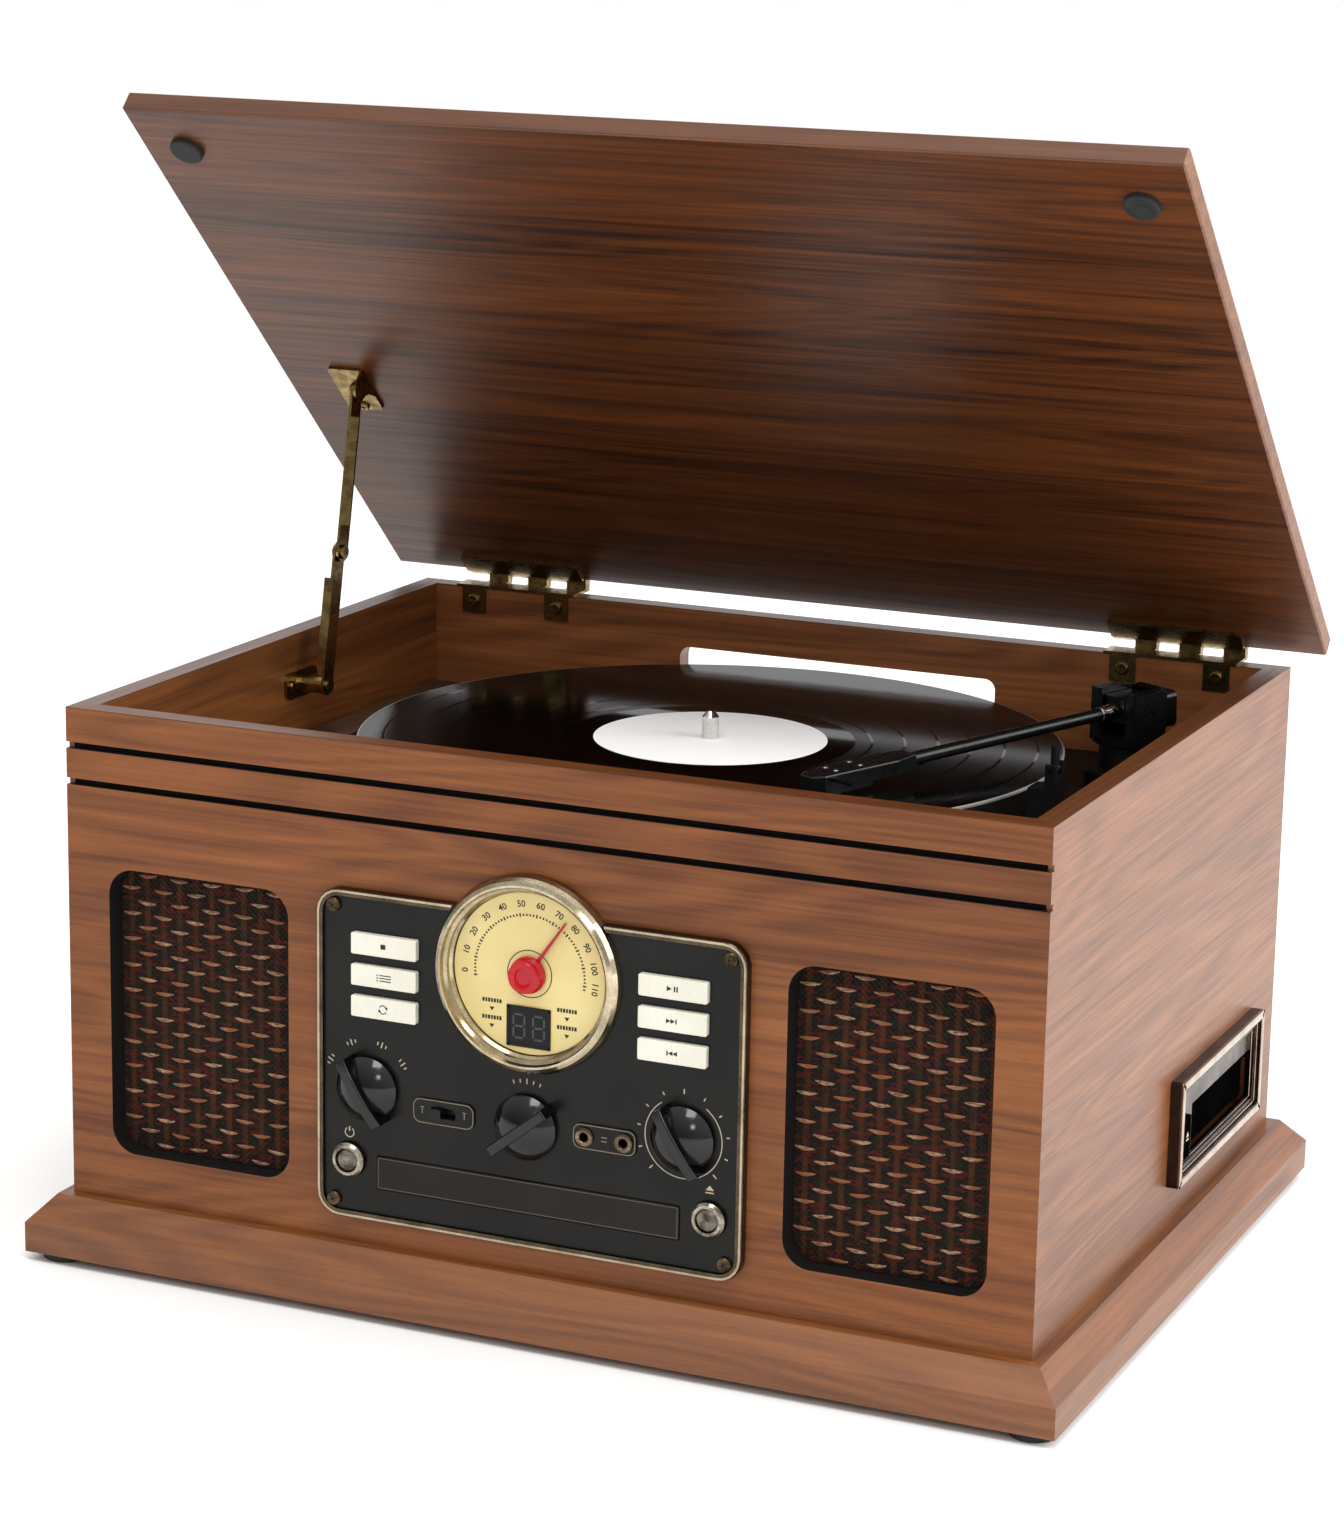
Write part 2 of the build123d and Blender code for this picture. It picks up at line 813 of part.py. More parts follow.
knuckle_pitch = hinge_length / 6
wall_drop = hinge_z - body_top
leaf_drop = wall_drop - leaf_thick
leaf_reach = hinge_y - rear_y + 1


def knuckle(x, forward, tab):
    """One rolled knuckle and its tab; forward points from the axis to the leaf."""
    side = Plane(origin=(x, hinge_y, hinge_z), x_dir=forward, z_dir=(1, 0, 0))
    with BuildSketch(side) as outline:
        with BuildLine():
            Polyline(*tab, close=True)
        make_face()
        Circle(barrel_radius)
    extrude(outline.sketch, amount=knuckle_pitch - clear)


def pin_bore(middle, radius, mode):
    start = Plane(
        origin=(middle - hinge_length / 2, hinge_y, hinge_z),
        x_dir=(0, 1, 0),
        z_dir=(1, 0, 0),
    )
    round_block(start, (0, 0), radius, hinge_length, mode)


def cabinet_leaf(middle):
    tab = [
        (barrel_radius, 0),
        (barrel_radius, leaf_drop),
        (leaf_reach, leaf_drop),
        (leaf_reach, wall_drop),
        (-barrel_radius + 1, wall_drop),
        (-barrel_radius, 0),
    ]
    with BuildPart() as leaf:
        plane = Plane.XY.offset(body_top)
        depth = wall + leaf_thick
        plain_block(plane, (middle, rear_y - depth / 2), (hinge_length, depth), leaf_thick)
        for x, z in rear_screws:
            if abs(x - middle) < hinge_length / 2:
                tall = 2 * leaf_screw_drop + leaf_thick
                place = (x, body_top + leaf_thick - tall / 2)
                rounded_block(REAR_INSIDE, place, (leaf_tab, tall), 0.5, leaf_thick)
        for index in (1, 3, 5):
            x = middle - hinge_length / 2 + index * knuckle_pitch + clear / 2
            knuckle(x, (0, -1, 0), tab)
        pin_bore(middle, pin_radius + running, Mode.SUBTRACT)
        for x, z in rear_screws:
            round_block(REAR_INSIDE, (x, z), screw_shank + running, leaf_thick, Mode.SUBTRACT)
    return leaf.part


def lid_leaf(middle):
    inner = hinge_above_inner
    tab = [
        (0, 0),
        (-0.5, 2.5),
        (hinge_behind_lid + 0.5, inner + leaf_thick),
        (hinge_behind_lid + 3, inner + leaf_thick),
        (hinge_behind_lid + 3, inner),
        (hinge_behind_lid, inner),
        (2.3, 1.1),
    ]
    with BuildPart() as leaf:
        place = (middle, hinge_behind_lid + leaf_depth / 2)
        rounded_block(LID_INSIDE, place, (hinge_length, leaf_depth), 0.8, leaf_thick)
        for index in (0, 2, 4):
            x = middle - hinge_length / 2 + index * knuckle_pitch + clear / 2
            knuckle(x, tuple(LID_INSIDE.y_dir), tab)
        pin_bore(middle, pin_radius + running, Mode.SUBTRACT)
        for place in lid_leaf_screws:
            round_block(LID_INSIDE, place, leaf_screw_head * 0.8, leaf_thick, Mode.SUBTRACT)
    return leaf.part


def hinge_pin(middle):
    with BuildPart() as pin:
        pin_bore(middle, pin_radius, Mode.ADD)
    return pin.part


def sunk_screw(place):
    """Screw whose flat head lies flush in the lid leaf."""
    with BuildPart() as piece:
        round_block(LID_INSIDE, place, leaf_screw_head * 0.8 - running, leaf_thick)
        round_block(LID_INSIDE, place, screw_shank, -screw_length)
    return piece.part


leaves = [cabinet_leaf(middle) for middle in hinge_middles]
pins = [hinge_pin(middle) for middle in hinge_middles]
write_group(leaves + pins, "hinge_cabinet_leaves")
leaves = [lid_leaf(middle) for middle in hinge_middles]
lid_screws = [sunk_screw(place) for place in lid_leaf_screws]
write_group(leaves + lid_screws, "hinge_lid_leaves")

# Folding stay on the left. Each arm stands in its own layer, so the two never touch.
lower_x = -inner_x + stay_wall_offset
upper_x = lower_x + stay_thick + stay_layer_gap
stay_foot = (stay_wall_y, stay_z)
lid_pivot = LID_INSIDE.from_local_coords((0, stay_lid_y, stay_lid_drop))
stay_head = (lid_pivot.Y, lid_pivot.Z)
stay_reach = hypot(stay_head[0] - stay_foot[0], stay_head[1] - stay_foot[1])
stay_rise = degrees(atan2(stay_head[1] - stay_foot[1], stay_head[0] - stay_foot[0]))
stay_upper_length = stay_reach - stay_lower_length


def side_plane(x, place, angle):
    """Plane facing right, whose local x runs at an angle up from +Y."""
    run = (0, cos(radians(angle)), sin(radians(angle)))
    return Plane(origin=(x, place[0], place[1]), x_dir=run, z_dir=(1, 0, 0))


def stay_arm(plane, length, flange_out, rivet_at, hole_at):
    half = stay_width / 2
    with BuildSketch(plane) as outline:
        with Locations((length / 2, 0)):
            SlotCenterToCenter(length, stay_width)
    extrude(outline.sketch, amount=stay_thick)
    flange_run = length - 4 * half - 6
    place = (length / 2, half - stay_thick / 2)
    start = plane if flange_out > 0 else plane.offset(stay_thick)
    plain_block(start, place, (flange_run, stay_thick), flange_out)
    round_block(plane, (hole_at, 0), stay_pin_radius + running, stay_thick, Mode.SUBTRACT)
    outer = plane.offset(stay_thick) if flange_out > 0 else plane
    height = rivet_height if flange_out > 0 else -rivet_height
    round_block(outer, (rivet_at, 0), rivet_radius, height)


with BuildPart() as stay_lower_arm:
    plane = side_plane(lower_x, stay_foot, stay_rise)
    stay_arm(plane, stay_lower_length, -stay_flange, stay_lower_length, 0)
write(stay_lower_arm, "stay_lower_arm")

with BuildPart() as stay_upper_arm:
    turn = radians(stay_rise)
    elbow_y = stay_foot[0] + stay_lower_length * cos(turn)
    elbow_z = stay_foot[1] + stay_lower_length * sin(turn)
    plane = side_plane(upper_x, (elbow_y, elbow_z), stay_rise)
    stay_arm(plane, stay_upper_length, stay_flange + stay_thick, 0, stay_upper_length)
write(stay_upper_arm, "stay_upper_arm")

with BuildPart() as stay_wall_bracket:
    rounded_block(LEFT_INSIDE, stay_foot, (28, 12), 4, bracket_thick)
    round_block(LEFT_INSIDE, stay_foot, 4, stay_wall_offset - clear)
    pin_end = stay_wall_offset + stay_thick + clear / 2
    round_block(LEFT_INSIDE, stay_foot, stay_pin_radius, pin_end)
    round_block(LEFT_INSIDE.offset(pin_end), stay_foot, rivet_radius, rivet_height)
    for place in stay_screws:
        round_block(LEFT_INSIDE, place, screw_shank + running, bracket_thick, Mode.SUBTRACT)
write(stay_wall_bracket, "stay_wall_bracket")

ear_x = upper_x + stay_thick + stay_layer_gap
with BuildPart() as stay_lid_bracket:
    plate_left = 2 * stay_plate_x - ear_x - stay_thick
    plate_width = ear_x + stay_thick - plate_left
    plate_y = stay_lid_y - 9
    rounded_block(LID_INSIDE, (stay_plate_x, plate_y), (plate_width, 30), 2, bracket_thick)
    ear = Plane(
        origin=LID_INSIDE.from_local_coords((ear_x, 0, 0)),
        x_dir=LID_INSIDE.y_dir,
        z_dir=(1, 0, 0),
    )
    with BuildSketch(ear) as outline:
        with BuildLine():
            Polyline(
                (stay_lid_y - 16, 0),
                (stay_lid_y + 5, 0),
                (stay_lid_y + 5, stay_lid_drop),
                (stay_lid_y - 5, stay_lid_drop),
                (stay_lid_y - 7, stay_lid_drop - 3),
                close=True,
            )
        make_face()
        with Locations((stay_lid_y, stay_lid_drop)):
            Circle(5)
    extrude(outline.sketch, amount=stay_thick)
    pin_length = stay_layer_gap + stay_thick + clear
    round_block(ear, (stay_lid_y, stay_lid_drop), stay_pin_radius, -pin_length)
    head = ear.offset(-pin_length)
    round_block(head, (stay_lid_y, stay_lid_drop), rivet_radius, -rivet_height)
    for place in stay_lid_screws:
        round_block(LID_INSIDE, place, screw_shank + running, bracket_thick, Mode.SUBTRACT)
bracket_screws = []
for place in stay_lid_screws:
    origin = LID_INSIDE.from_local_coords((place[0], place[1], bracket_thick))
    plane = Plane(origin=origin, x_dir=(1, 0, 0), z_dir=LID_INSIDE.z_dir)
    bracket_screws.append(screw(plane, bracket_screw_head, 1.2, screw_shank, screw_length))
write_group([stay_lid_bracket.part] + bracket_screws, "stay_lid_bracket")

# Tonearm, built on a plane that starts at its pivot and runs down the arm
arm_pivot_z = chassis_top + arm_pivot_height
arm_turn = radians(arm_angle)
arm_run = (cos(arm_turn), sin(arm_turn), 0)
ARM_LEVEL = Plane(origin=(arm_x, arm_y, arm_pivot_z), x_dir=arm_run, z_dir=(0, 0, 1))
slope = radians(arm_slope)
ARM = Plane(
    origin=(arm_x, arm_y, arm_pivot_z),
    x_dir=(arm_run[0] * cos(slope), arm_run[1] * cos(slope), -sin(slope)),
    z_dir=(arm_run[0] * sin(slope), arm_run[1] * sin(slope), cos(slope)),
)


def across(base, along, up):
    """Plane that faces along the arm, at a distance from the pivot."""
    origin = base.from_local_coords((along, 0, up))
    return Plane(origin=origin, x_dir=base.y_dir, z_dir=base.x_dir)


def beside(base, along, side, up):
    """Plane that faces sideways from the arm; its local x runs along the arm."""
    origin = base.from_local_coords((along, side, up))
    return Plane(origin=origin, x_dir=base.x_dir, z_dir=-base.y_dir)


with BuildPart() as tonearm_base:
    place = (arm_x, arm_y)
    plane = Plane.XY.offset(chassis_top)
    post = turret_low - clear
    round_block(plane, place, turret_radius + 3, 8)
    fillet(tonearm_base.faces().sort_by(Axis.Z)[-1].edges(), 2)
    round_block(plane, place, turret_radius - 3, post)
    round_block(plane, place, turret_shaft + running, post, Mode.SUBTRACT)
write(tonearm_base, "tonearm_base")

cheek_out = turret_width / 2
cheek_in = arm_block_width / 2 + 0.8
turret_z = chassis_top + turret_low
with BuildPart() as tonearm_turret:
    place = (arm_x, arm_y)
    plane = Plane.XY.offset(turret_z)
    round_block(plane, place, turret_shaft, -turret_low + clear)
    round_block(plane, place, turret_radius, 4)
    level = Plane(origin=(arm_x, arm_y, turret_z), x_dir=arm_run, z_dir=(0, 0, 1))
    tall = arm_pivot_z + turret_above_pivot - turret_z
    for side in (-1, 1):
        middle = side * (cheek_out + cheek_in) / 2
        rounded_block(level, (0, middle), (20, cheek_out - cheek_in), 1.2, tall)
    bore_plane = beside(ARM_LEVEL, 0, -cheek_out - 1, 0)
    round_block(bore_plane, (0, 0), trunnion_radius + running, -2 * cheek_out - 2, Mode.SUBTRACT)
write(tonearm_turret, "tonearm_turret")

tube_start = 6.0
tube_end = arm_length - shell_length + shell_socket
with BuildPart() as tonearm:
    half = arm_block_width / 2
    rounded_block(ARM.offset(-5), (0, 0), (16, arm_block_width), 1.5, 11)
    trunnion = beside(ARM_LEVEL, 0, -cheek_out + 0.6, 0)
    round_block(trunnion, (0, 0), trunnion_radius, -2 * cheek_out + 1.2)
    round_block(across(ARM, tube_start, 0), (0, 0), arm_tube_radius, tube_end - tube_start)
    round_block(across(ARM, -6, 0), (0, 0), 4, -8)
    weight = across(ARM, -weight_start, -1)
    rounded_block(weight, (0, 0), (weight_width, weight_height), 3, -weight_length)
write(tonearm, "tonearm")

with BuildPart() as headshell:
    shell_start = arm_length - shell_length
    half = shell_width / 2
    with BuildSketch(ARM.offset(-3)) as outline:
        with BuildLine():
            Polyline(
                (shell_start, -half * 0.6),
                (shell_start + 12, -half),
                (arm_length - 5, -half * 0.85),
                (arm_length, -half * 0.5),
                (arm_length, half * 0.5),
                (arm_length - 5, half * 0.85),
                (shell_start + 12, half),
                (shell_start, half * 0.6),
                close=True,
            )
        make_face()
    extrude(outline.sketch, amount=shell_height)
    top = headshell.faces().sort_by(Axis(ARM.origin, ARM.z_dir))[-1]
    fillet(top.edges(), 1.2)
    socket = across(ARM, shell_start, 0)
    round_block(socket, (0, 0), arm_tube_radius + running, shell_socket + 0.2, Mode.SUBTRACT)
    lift_tab = ARM.offset(1)
    rounded_block(lift_tab, (arm_length - 9, half + 5), lift_size, 1, lift_thick)
    cartridge = ARM.offset(-3)
    plain_block(cartridge, (arm_length - 20, 0), cartridge_size, -cartridge_height)
    stylus = cartridge.offset(-cartridge_height)
    plain_block(stylus, (arm_length - 11, 0), stylus_size, -stylus_height)
write(headshell, "headshell")

with BuildPart() as cue_lever:
    hub = Plane(origin=(cue_place[0] - 3, cue_place[1], cue_z), x_dir=(0, -1, 0), z_dir=(1, 0, 0))
    round_block(hub, (0, 0), 2.6, 6)
    round_block(hub.offset(-2.4), (0, 0), 1.1, 10.8)
    run = (0, -cos(radians(cue_rise)), sin(radians(cue_rise)))
    rod = Plane(origin=(cue_place[0], cue_place[1], cue_z), x_dir=(1, 0, 0), z_dir=run)
    round_block(rod, (0, 0), 1.5, cue_length)
    rounded_block(rod.offset(cue_length - 6), (0, 0), (7, 3.4), 1.6, 9)
write(cue_lever, "cue_lever")

with BuildPart() as rest_clip:
    hub = Plane(origin=(clip_x, rest_y - 3, clip_z), x_dir=(1, 0, 0), z_dir=(0, 1, 0))
    round_block(hub, (0, 0), 1.7, 6)
    round_block(hub.offset(-1.5), (0, 0), 0.9, 9)
    upright = Plane(origin=(clip_x, rest_y, clip_z), x_dir=(1, 0, 0), z_dir=(0, 0, 1))
    plain_block(upright, (0, 0), (clip_thick, 6), clip_reach)
write(rest_clip, "rest_clip")

with BuildPart() as speed_switch:
    plane = Plane.XY.offset(chassis_top)
    start = (speed_place[0], speed_place[1] - speed_travel / 2)
    rounded_block(plane.offset(-chassis_thick - 1), start, (5.2, 6), 1, chassis_thick + 2)
    rounded_block(plane.offset(clear), start, (9, 8), 1.5, 5)
write(speed_switch, "speed_switch")

# Control panel, its trim and the tuning dial
inset = trim_width + running
plate_size = (panel_width - 2 * inset, panel_height - 2 * inset)
buttons = {
    "stop_button": (-1, 0),
    "program_button": (-1, 1),
    "repeat_button": (-1, 2),
    "play_button": (1, 0),
    "next_button": (1, 1),
    "previous_button": (1, 2),
}
button_places = {
    name: (side * button_spread, panel_z + button_up - row * button_pitch)
    for name, (side, row) in buttons.items()
}
knob_z = panel_z - side_knob_down
tuning_z = panel_z - tuning_down
round_button_z = panel_z - round_button_down
tray_z = panel_z - tray_down
knobs = {
    "function_knob": (function_knob_x, knob_z, -57),
    "tuning_knob": (0, tuning_z, 219),
    "volume_knob": (volume_knob_x, knob_z, -57),
}
jack_places = [(jack_plate_x + side * jack_spread / 2, tuning_z) for side in (-1, 1)]
post_places = [(sx * post_spread, tuning_z + up) for sx in (-1, 1) for up in post_ups]

with BuildPart() as control_panel:
    rounded_block(FRONT, (0, panel_z), plate_size, panel_corner - trim_width, panel_thick)
    for place in post_places:
        round_block(FRONT, place, post_radius, -board_depth)
    round_block(FRONT, (0, dial_z), dial_radius + running, panel_thick, Mode.SUBTRACT)
    for place in button_places.values():
        size = (button_width + 2 * clear, button_height + 2 * clear)
        rounded_block(FRONT, place, size, small_corner + clear, panel_thick, Mode.SUBTRACT)
    for x, z, turn in knobs.values():
        round_block(FRONT, (x, z), shaft_radius + clear, panel_thick, Mode.SUBTRACT)
    for side in (-1, 1):
        place = (side * round_button_spread, round_button_z)
        round_block(FRONT, place, round_button_radius + clear, panel_thick, Mode.SUBTRACT)
    size = (tray_front_width + 2 * clear, tray_front_height + 2 * clear)
    rounded_block(FRONT, (0, tray_z), size, small_corner + clear, panel_thick, Mode.SUBTRACT)
    place = (switch_plate_x, tuning_z)
    rounded_block(FRONT, place, (band_slot, slot_height_small), 1, panel_thick, Mode.SUBTRACT)
    for place in jack_places:
        round_block(FRONT, place, jack_barrel + running, panel_thick, Mode.SUBTRACT)
    for place in panel_screws:
        round_block(FRONT, place, screw_shank + running, panel_thick, Mode.SUBTRACT)
write(control_panel, "control_panel")

with BuildPart() as panel_trim:
    rounded_block(FRONT, (0, panel_z), (panel_width, panel_height), panel_corner, trim_proud)
    fillet(panel_trim.faces().sort_by(Axis.Y)[0].edges(), 1.2)
    size = (panel_width - 2 * trim_width, panel_height - 2 * trim_width)
    radius = panel_corner - trim_width
    rounded_block(FRONT, (0, panel_z), size, radius, trim_proud, Mode.SUBTRACT)
    round_block(FRONT, (0, dial_z), dial_radius + running, trim_proud, Mode.SUBTRACT)
write(panel_trim, "panel_trim")

DIAL = Plane(origin=(0, front_y, dial_z), x_dir=(1, 0, 0), z_dir=(0, 0, 1))
dial_axis = Axis((0, front_y, dial_z), (0, 1, 0))


def turned(points, plane=DIAL, axis=dial_axis):
    """Turn an outline of (radius, distance out of the front) into a ring."""
    with BuildSketch(plane) as outline:
        with BuildLine():
            Polyline(*[(radius, -out) for radius, out in points], close=True)
        make_face()
    revolve(outline.sketch, axis=axis)


with BuildPart() as dial_bezel:
    inner = dial_face_radius + clear
    turned([
        (inner, 0),
        (dial_radius, 0),
        (dial_radius, 3.0),
        (dial_radius - 0.6, 5.2),
        (dial_radius - 1.8, 7.0),
        (dial_radius - 3.3, dial_proud),
        (dial_radius - 4.2, dial_proud),
        (dial_radius - 4.8, 6.4),
        (dial_radius - 6.0, 5.6),
        (dial_radius - 6.3, 4.0),
        (inner, 3.0),
    ])
write(dial_bezel, "dial_bezel")

with BuildPart() as dial_face:
    round_block(FRONT, (0, dial_z), dial_radius - dial_rim_cover, -dial_back)
    round_block(FRONT, (0, dial_z), dial_face_radius, dial_face_out)
    place = (0, dial_z - display_drop)
    plain_block(FRONT.offset(dial_face_out), place, display_size, display_raise)
    size = (display_size[0] - 2 * display_border, display_size[1] - 2 * display_border)
    plane = FRONT.offset(dial_face_out + display_raise)
    plain_block(plane, place, size, -display_sink, Mode.SUBTRACT)
    plane = FRONT.offset(-dial_back)
    depth = dial_back + dial_face_out
    round_block(plane, (0, dial_z), pointer_shaft + running, depth, Mode.SUBTRACT)
write(dial_face, "dial_face")

with BuildPart() as dial_pointer:
    low = dial_face_out + hub_gap
    turned([
        (0, -drum_back),
        (drum_radius, -drum_back),
        (drum_radius, -drum_front),
        (pointer_shaft, -drum_front),
        (pointer_shaft, low),
        (hub_radius, low),
        (hub_radius, low + 1.6),
        (hub_radius - 1.0, low + 3.0),
        (hub_radius - 3.2, low + 4.0),
        (0, low + 4.4),
    ])
    needle = Plane(
        origin=(0, front_y - low, dial_z),
        x_dir=(sin(radians(pointer_turn)), 0, cos(radians(pointer_turn))),
        z_dir=(0, -1, 0),
    )
    with BuildSketch(needle) as outline:
        with BuildLine():
            Polyline(
                (0, -needle_root),
                (pointer_length, -needle_tip),
                (pointer_length, needle_tip),
                (0, needle_root),
                close=True,
            )
        make_face()
    extrude(outline.sketch, amount=needle_thick)
write(dial_pointer, "dial_pointer")

# Push buttons
for name, place in button_places.items():
    with BuildPart() as button:
        back = FRONT.offset(-button_stem)
        out = panel_thick + button_proud + button_stem
        rounded_block(back, place, (button_width, button_height), small_corner, out)
        fillet(button.faces().sort_by(Axis.Y)[0].edges(), push_edge)
    write(button, name)

for name, side in (("power_button", -1), ("open_button", 1)):
    with BuildPart() as button:
        back = FRONT.offset(-button_stem)
        place = (side * round_button_spread, round_button_z)
        out = panel_thick + round_button_proud + button_stem
        round_block(back, place, round_button_radius, out)
        chamfer(button.faces().sort_by(Axis.Y)[0].edges(), round_edge)
        front = FRONT.offset(panel_thick + round_button_proud)
        dish = round_button_radius - round_dish_wall
        round_block(front, place, dish, -round_dish_depth, Mode.SUBTRACT)
    write(button, name)

# Pointer knobs: a domed skirt under an arched blade, and a shaft back into the board
dome_rise = knob_dome - knob_rim
dome_radius = (knob_radius ** 2 + dome_rise ** 2) / (2 * dome_rise)
half_turn = asin(knob_radius / dome_radius) / 2
dome_middle = (
    dome_radius * sin(half_turn),
    dome_radius - knob_dome - dome_radius * cos(half_turn),
)
for name, (x, z, turn) in knobs.items():
    run = (cos(radians(turn)), 0, sin(radians(turn)))
    aside = (run[2], 0, -run[0])
    seat = front_y - panel_thick - clear
    plane = Plane(origin=(x, seat, z), x_dir=run, z_dir=(0, -1, 0))
    section = Plane(origin=(x, seat, z), x_dir=(1, 0, 0), z_dir=(0, 0, 1))
    with BuildPart() as knob:
        with BuildSketch(Plane(origin=(x, seat, z), x_dir=run, z_dir=aside)) as blade:
            with BuildLine():
                start = (blade_back, blade_low)
                end = (blade_front, blade_low)
                ThreePointArc(start, (0, knob_height), end)
                Polyline(end, (blade_front, 0), (blade_back, 0), start)
            make_face()
        extrude(blade.sketch, amount=blade_width / 2, both=True)
        fillet(knob.faces().filter_by(GeomType.CYLINDER).edges(), blade_edge)
        with BuildSketch(section) as dome:
            with BuildLine():
                rim = (knob_radius, -knob_rim)
                crown = (0, -knob_dome)
                Polyline(crown, (0, 0), (knob_radius, 0), rim)
                ThreePointArc(rim, dome_middle, crown)
            make_face()
        revolve(dome.sketch, axis=Axis((x, seat, z), (0, 1, 0)))
        round_block(plane, (0, 0), shaft_radius, -shaft_length)
    write(knob, name)

# Band switch, jacks and their plates
with BuildPart() as panel_plates:
    front = FRONT.offset(panel_thick)
    for x in (switch_plate_x, jack_plate_x):
        rounded_block(front, (x, tuning_z), (plate_length, plate_height), plate_corner, plate_thick)
    place = (switch_plate_x, tuning_z)
    rounded_block(front, place, (band_slot, slot_height_small), 1, plate_thick, Mode.SUBTRACT)
    for place in jack_places:
        round_block(front, place, jack_barrel + running, plate_thick, Mode.SUBTRACT)

with BuildPart() as band_switch:
    start = (switch_plate_x - band_travel / 2, tuning_z)
    back = FRONT.offset(-slider_depth)
    out = slider_depth + panel_thick + plate_thick + slider_proud
    rounded_block(back, start, slider_size, small_corner, out)
    rounded_block(back, start, slider_flange, small_corner, slider_depth - clear)
write(band_switch, "band_switch")


def jack(place):
    front = panel_thick + plate_thick
    with BuildPart() as piece:
        round_block(FRONT.offset(front), place, jack_barrel, -front - board_depth)
        round_block(FRONT.offset(front), place, jack_barrel + jack_nut, jack_nut_height)
        mouth = FRONT.offset(front + jack_nut_height)
        round_block(mouth, place, jack_bore, -jack_depth, Mode.SUBTRACT)
    return piece.part


jacks = [jack(place) for place in jack_places]
write_group(list(panel_plates.part.solids()) + jacks, "panel_plates")

# Boards: one behind the panel, one on the bottom board
with BuildPart() as control_board:
    front = FRONT.offset(-board_depth)
    top = panel_z + board_up
    low = panel_z - board_down
    plain_block(front, (0, (top + low) / 2), (2 * post_spread + 4, top - low), -board_thick)
    ear_low = round_button_z - ear_below
    for side in (-1, 1):
        place = (side * round_button_spread, (ear_low + low) / 2)
        plain_block(front, place, (ear_width, low - ear_low), -board_thick)
    for x, z, turn in knobs.values():
        round_block(front, (x, z), bushing_radius, board_depth - bushing_gap)
        plane = FRONT.offset(-bushing_gap)
        round_block(plane, (x, z), shaft_radius + running, -shaft_length, Mode.SUBTRACT)
    switch_height = board_depth - button_stem - button_travel - switch_gap
    round_places = [(side * round_button_spread, round_button_z) for side in (-1, 1)]
    for place in list(button_places.values()) + round_places:
        plain_block(front, place, switch_size, switch_height)

with BuildPart() as main_board:
    floor = Plane.XY.offset(body_low)
    wide = main_board_size[0] / 2 - 7
    deep = main_board_size[1] / 2 - 7
    for x in (-wide, wide):
        for y in (main_board_y - deep, main_board_y + deep):
            round_block(floor, (x, y), 3, main_board_gap)
    board = floor.offset(main_board_gap)
    plain_block(board, (0, main_board_y), main_board_size, board_thick)
    top = board.offset(board_thick)
    transformer = (44, 38)
    heat_sink = (40, 6)
    chip = (22, 14)
    plain_block(top, (-38, main_board_y + 15), transformer, 34)
    plain_block(top, (30, main_board_y + 30), heat_sink, 26)
    plain_block(top, (10, main_board_y - 30), chip, 3)
    for x, y, radius, tall in ((0, 27, 8, 28), (5, 5, 8, 28), (28, -15, 5, 16), (45, -15, 5, 16)):
        round_block(top, (x, main_board_y + y), radius, tall)
write_group([control_board.part, main_board.part], "circuit_boards")

# Disc drive and its tray
with BuildPart() as cd_drive:
    drive_low = tray_z - drive_below
    drive_top = tray_z + drive_above
    middle = (drive_front + drive_rear) / 2
    length = drive_rear - drive_front
    plain_block(Plane.XY.offset(drive_low), (0, middle), (drive_width, length), drive_top - drive_low)
    tunnel_low = tray_z - tray_thick / 2 - clear
    tunnel = Plane.XY.offset(tunnel_low)
    size = (tray_width + 2 * clear, length)
    tall = drive_top - tunnel_low - drive_wall
    plain_block(tunnel, (0, middle - drive_back_wall), size, tall, Mode.SUBTRACT)
    for x in (2 * drive_post - drive_width / 2, drive_width / 2 - 2 * drive_post):
        for y in (drive_front + 2 * drive_post, drive_rear - 2 * drive_post):
            round_block(Plane.XY.offset(body_low), (x, y), drive_post, drive_low - body_low)
write(cd_drive, "cd_drive")

with BuildPart() as cd_tray:
    plate = Plane.XY.offset(tray_z - tray_thick / 2)
    front_edge = front_y + tray_front_back
    middle = front_edge + tray_length / 2
    plain_block(plate, (0, middle), (tray_width, tray_length), tray_thick)
    pocket = plate.offset(tray_thick)
    pocket_y = front_edge + disc_pocket + pocket_front
    round_block(pocket, (0, pocket_y), disc_pocket, -pocket_depth, Mode.SUBTRACT)
    laser_window = (36, 80)
    place = (0, pocket_y + 22)
    rounded_block(pocket, place, laser_window, 17.9, -tray_thick, Mode.SUBTRACT)
    size = (tray_front_width, tray_front_height)
    back = FRONT.offset(-tray_front_back)
    rounded_block(back, (0, tray_z), size, small_corner, tray_front_thick)
    fillet(cd_tray.faces().sort_by(Axis.Y)[0].edges(), push_edge)
write(cd_tray, "cd_tray")


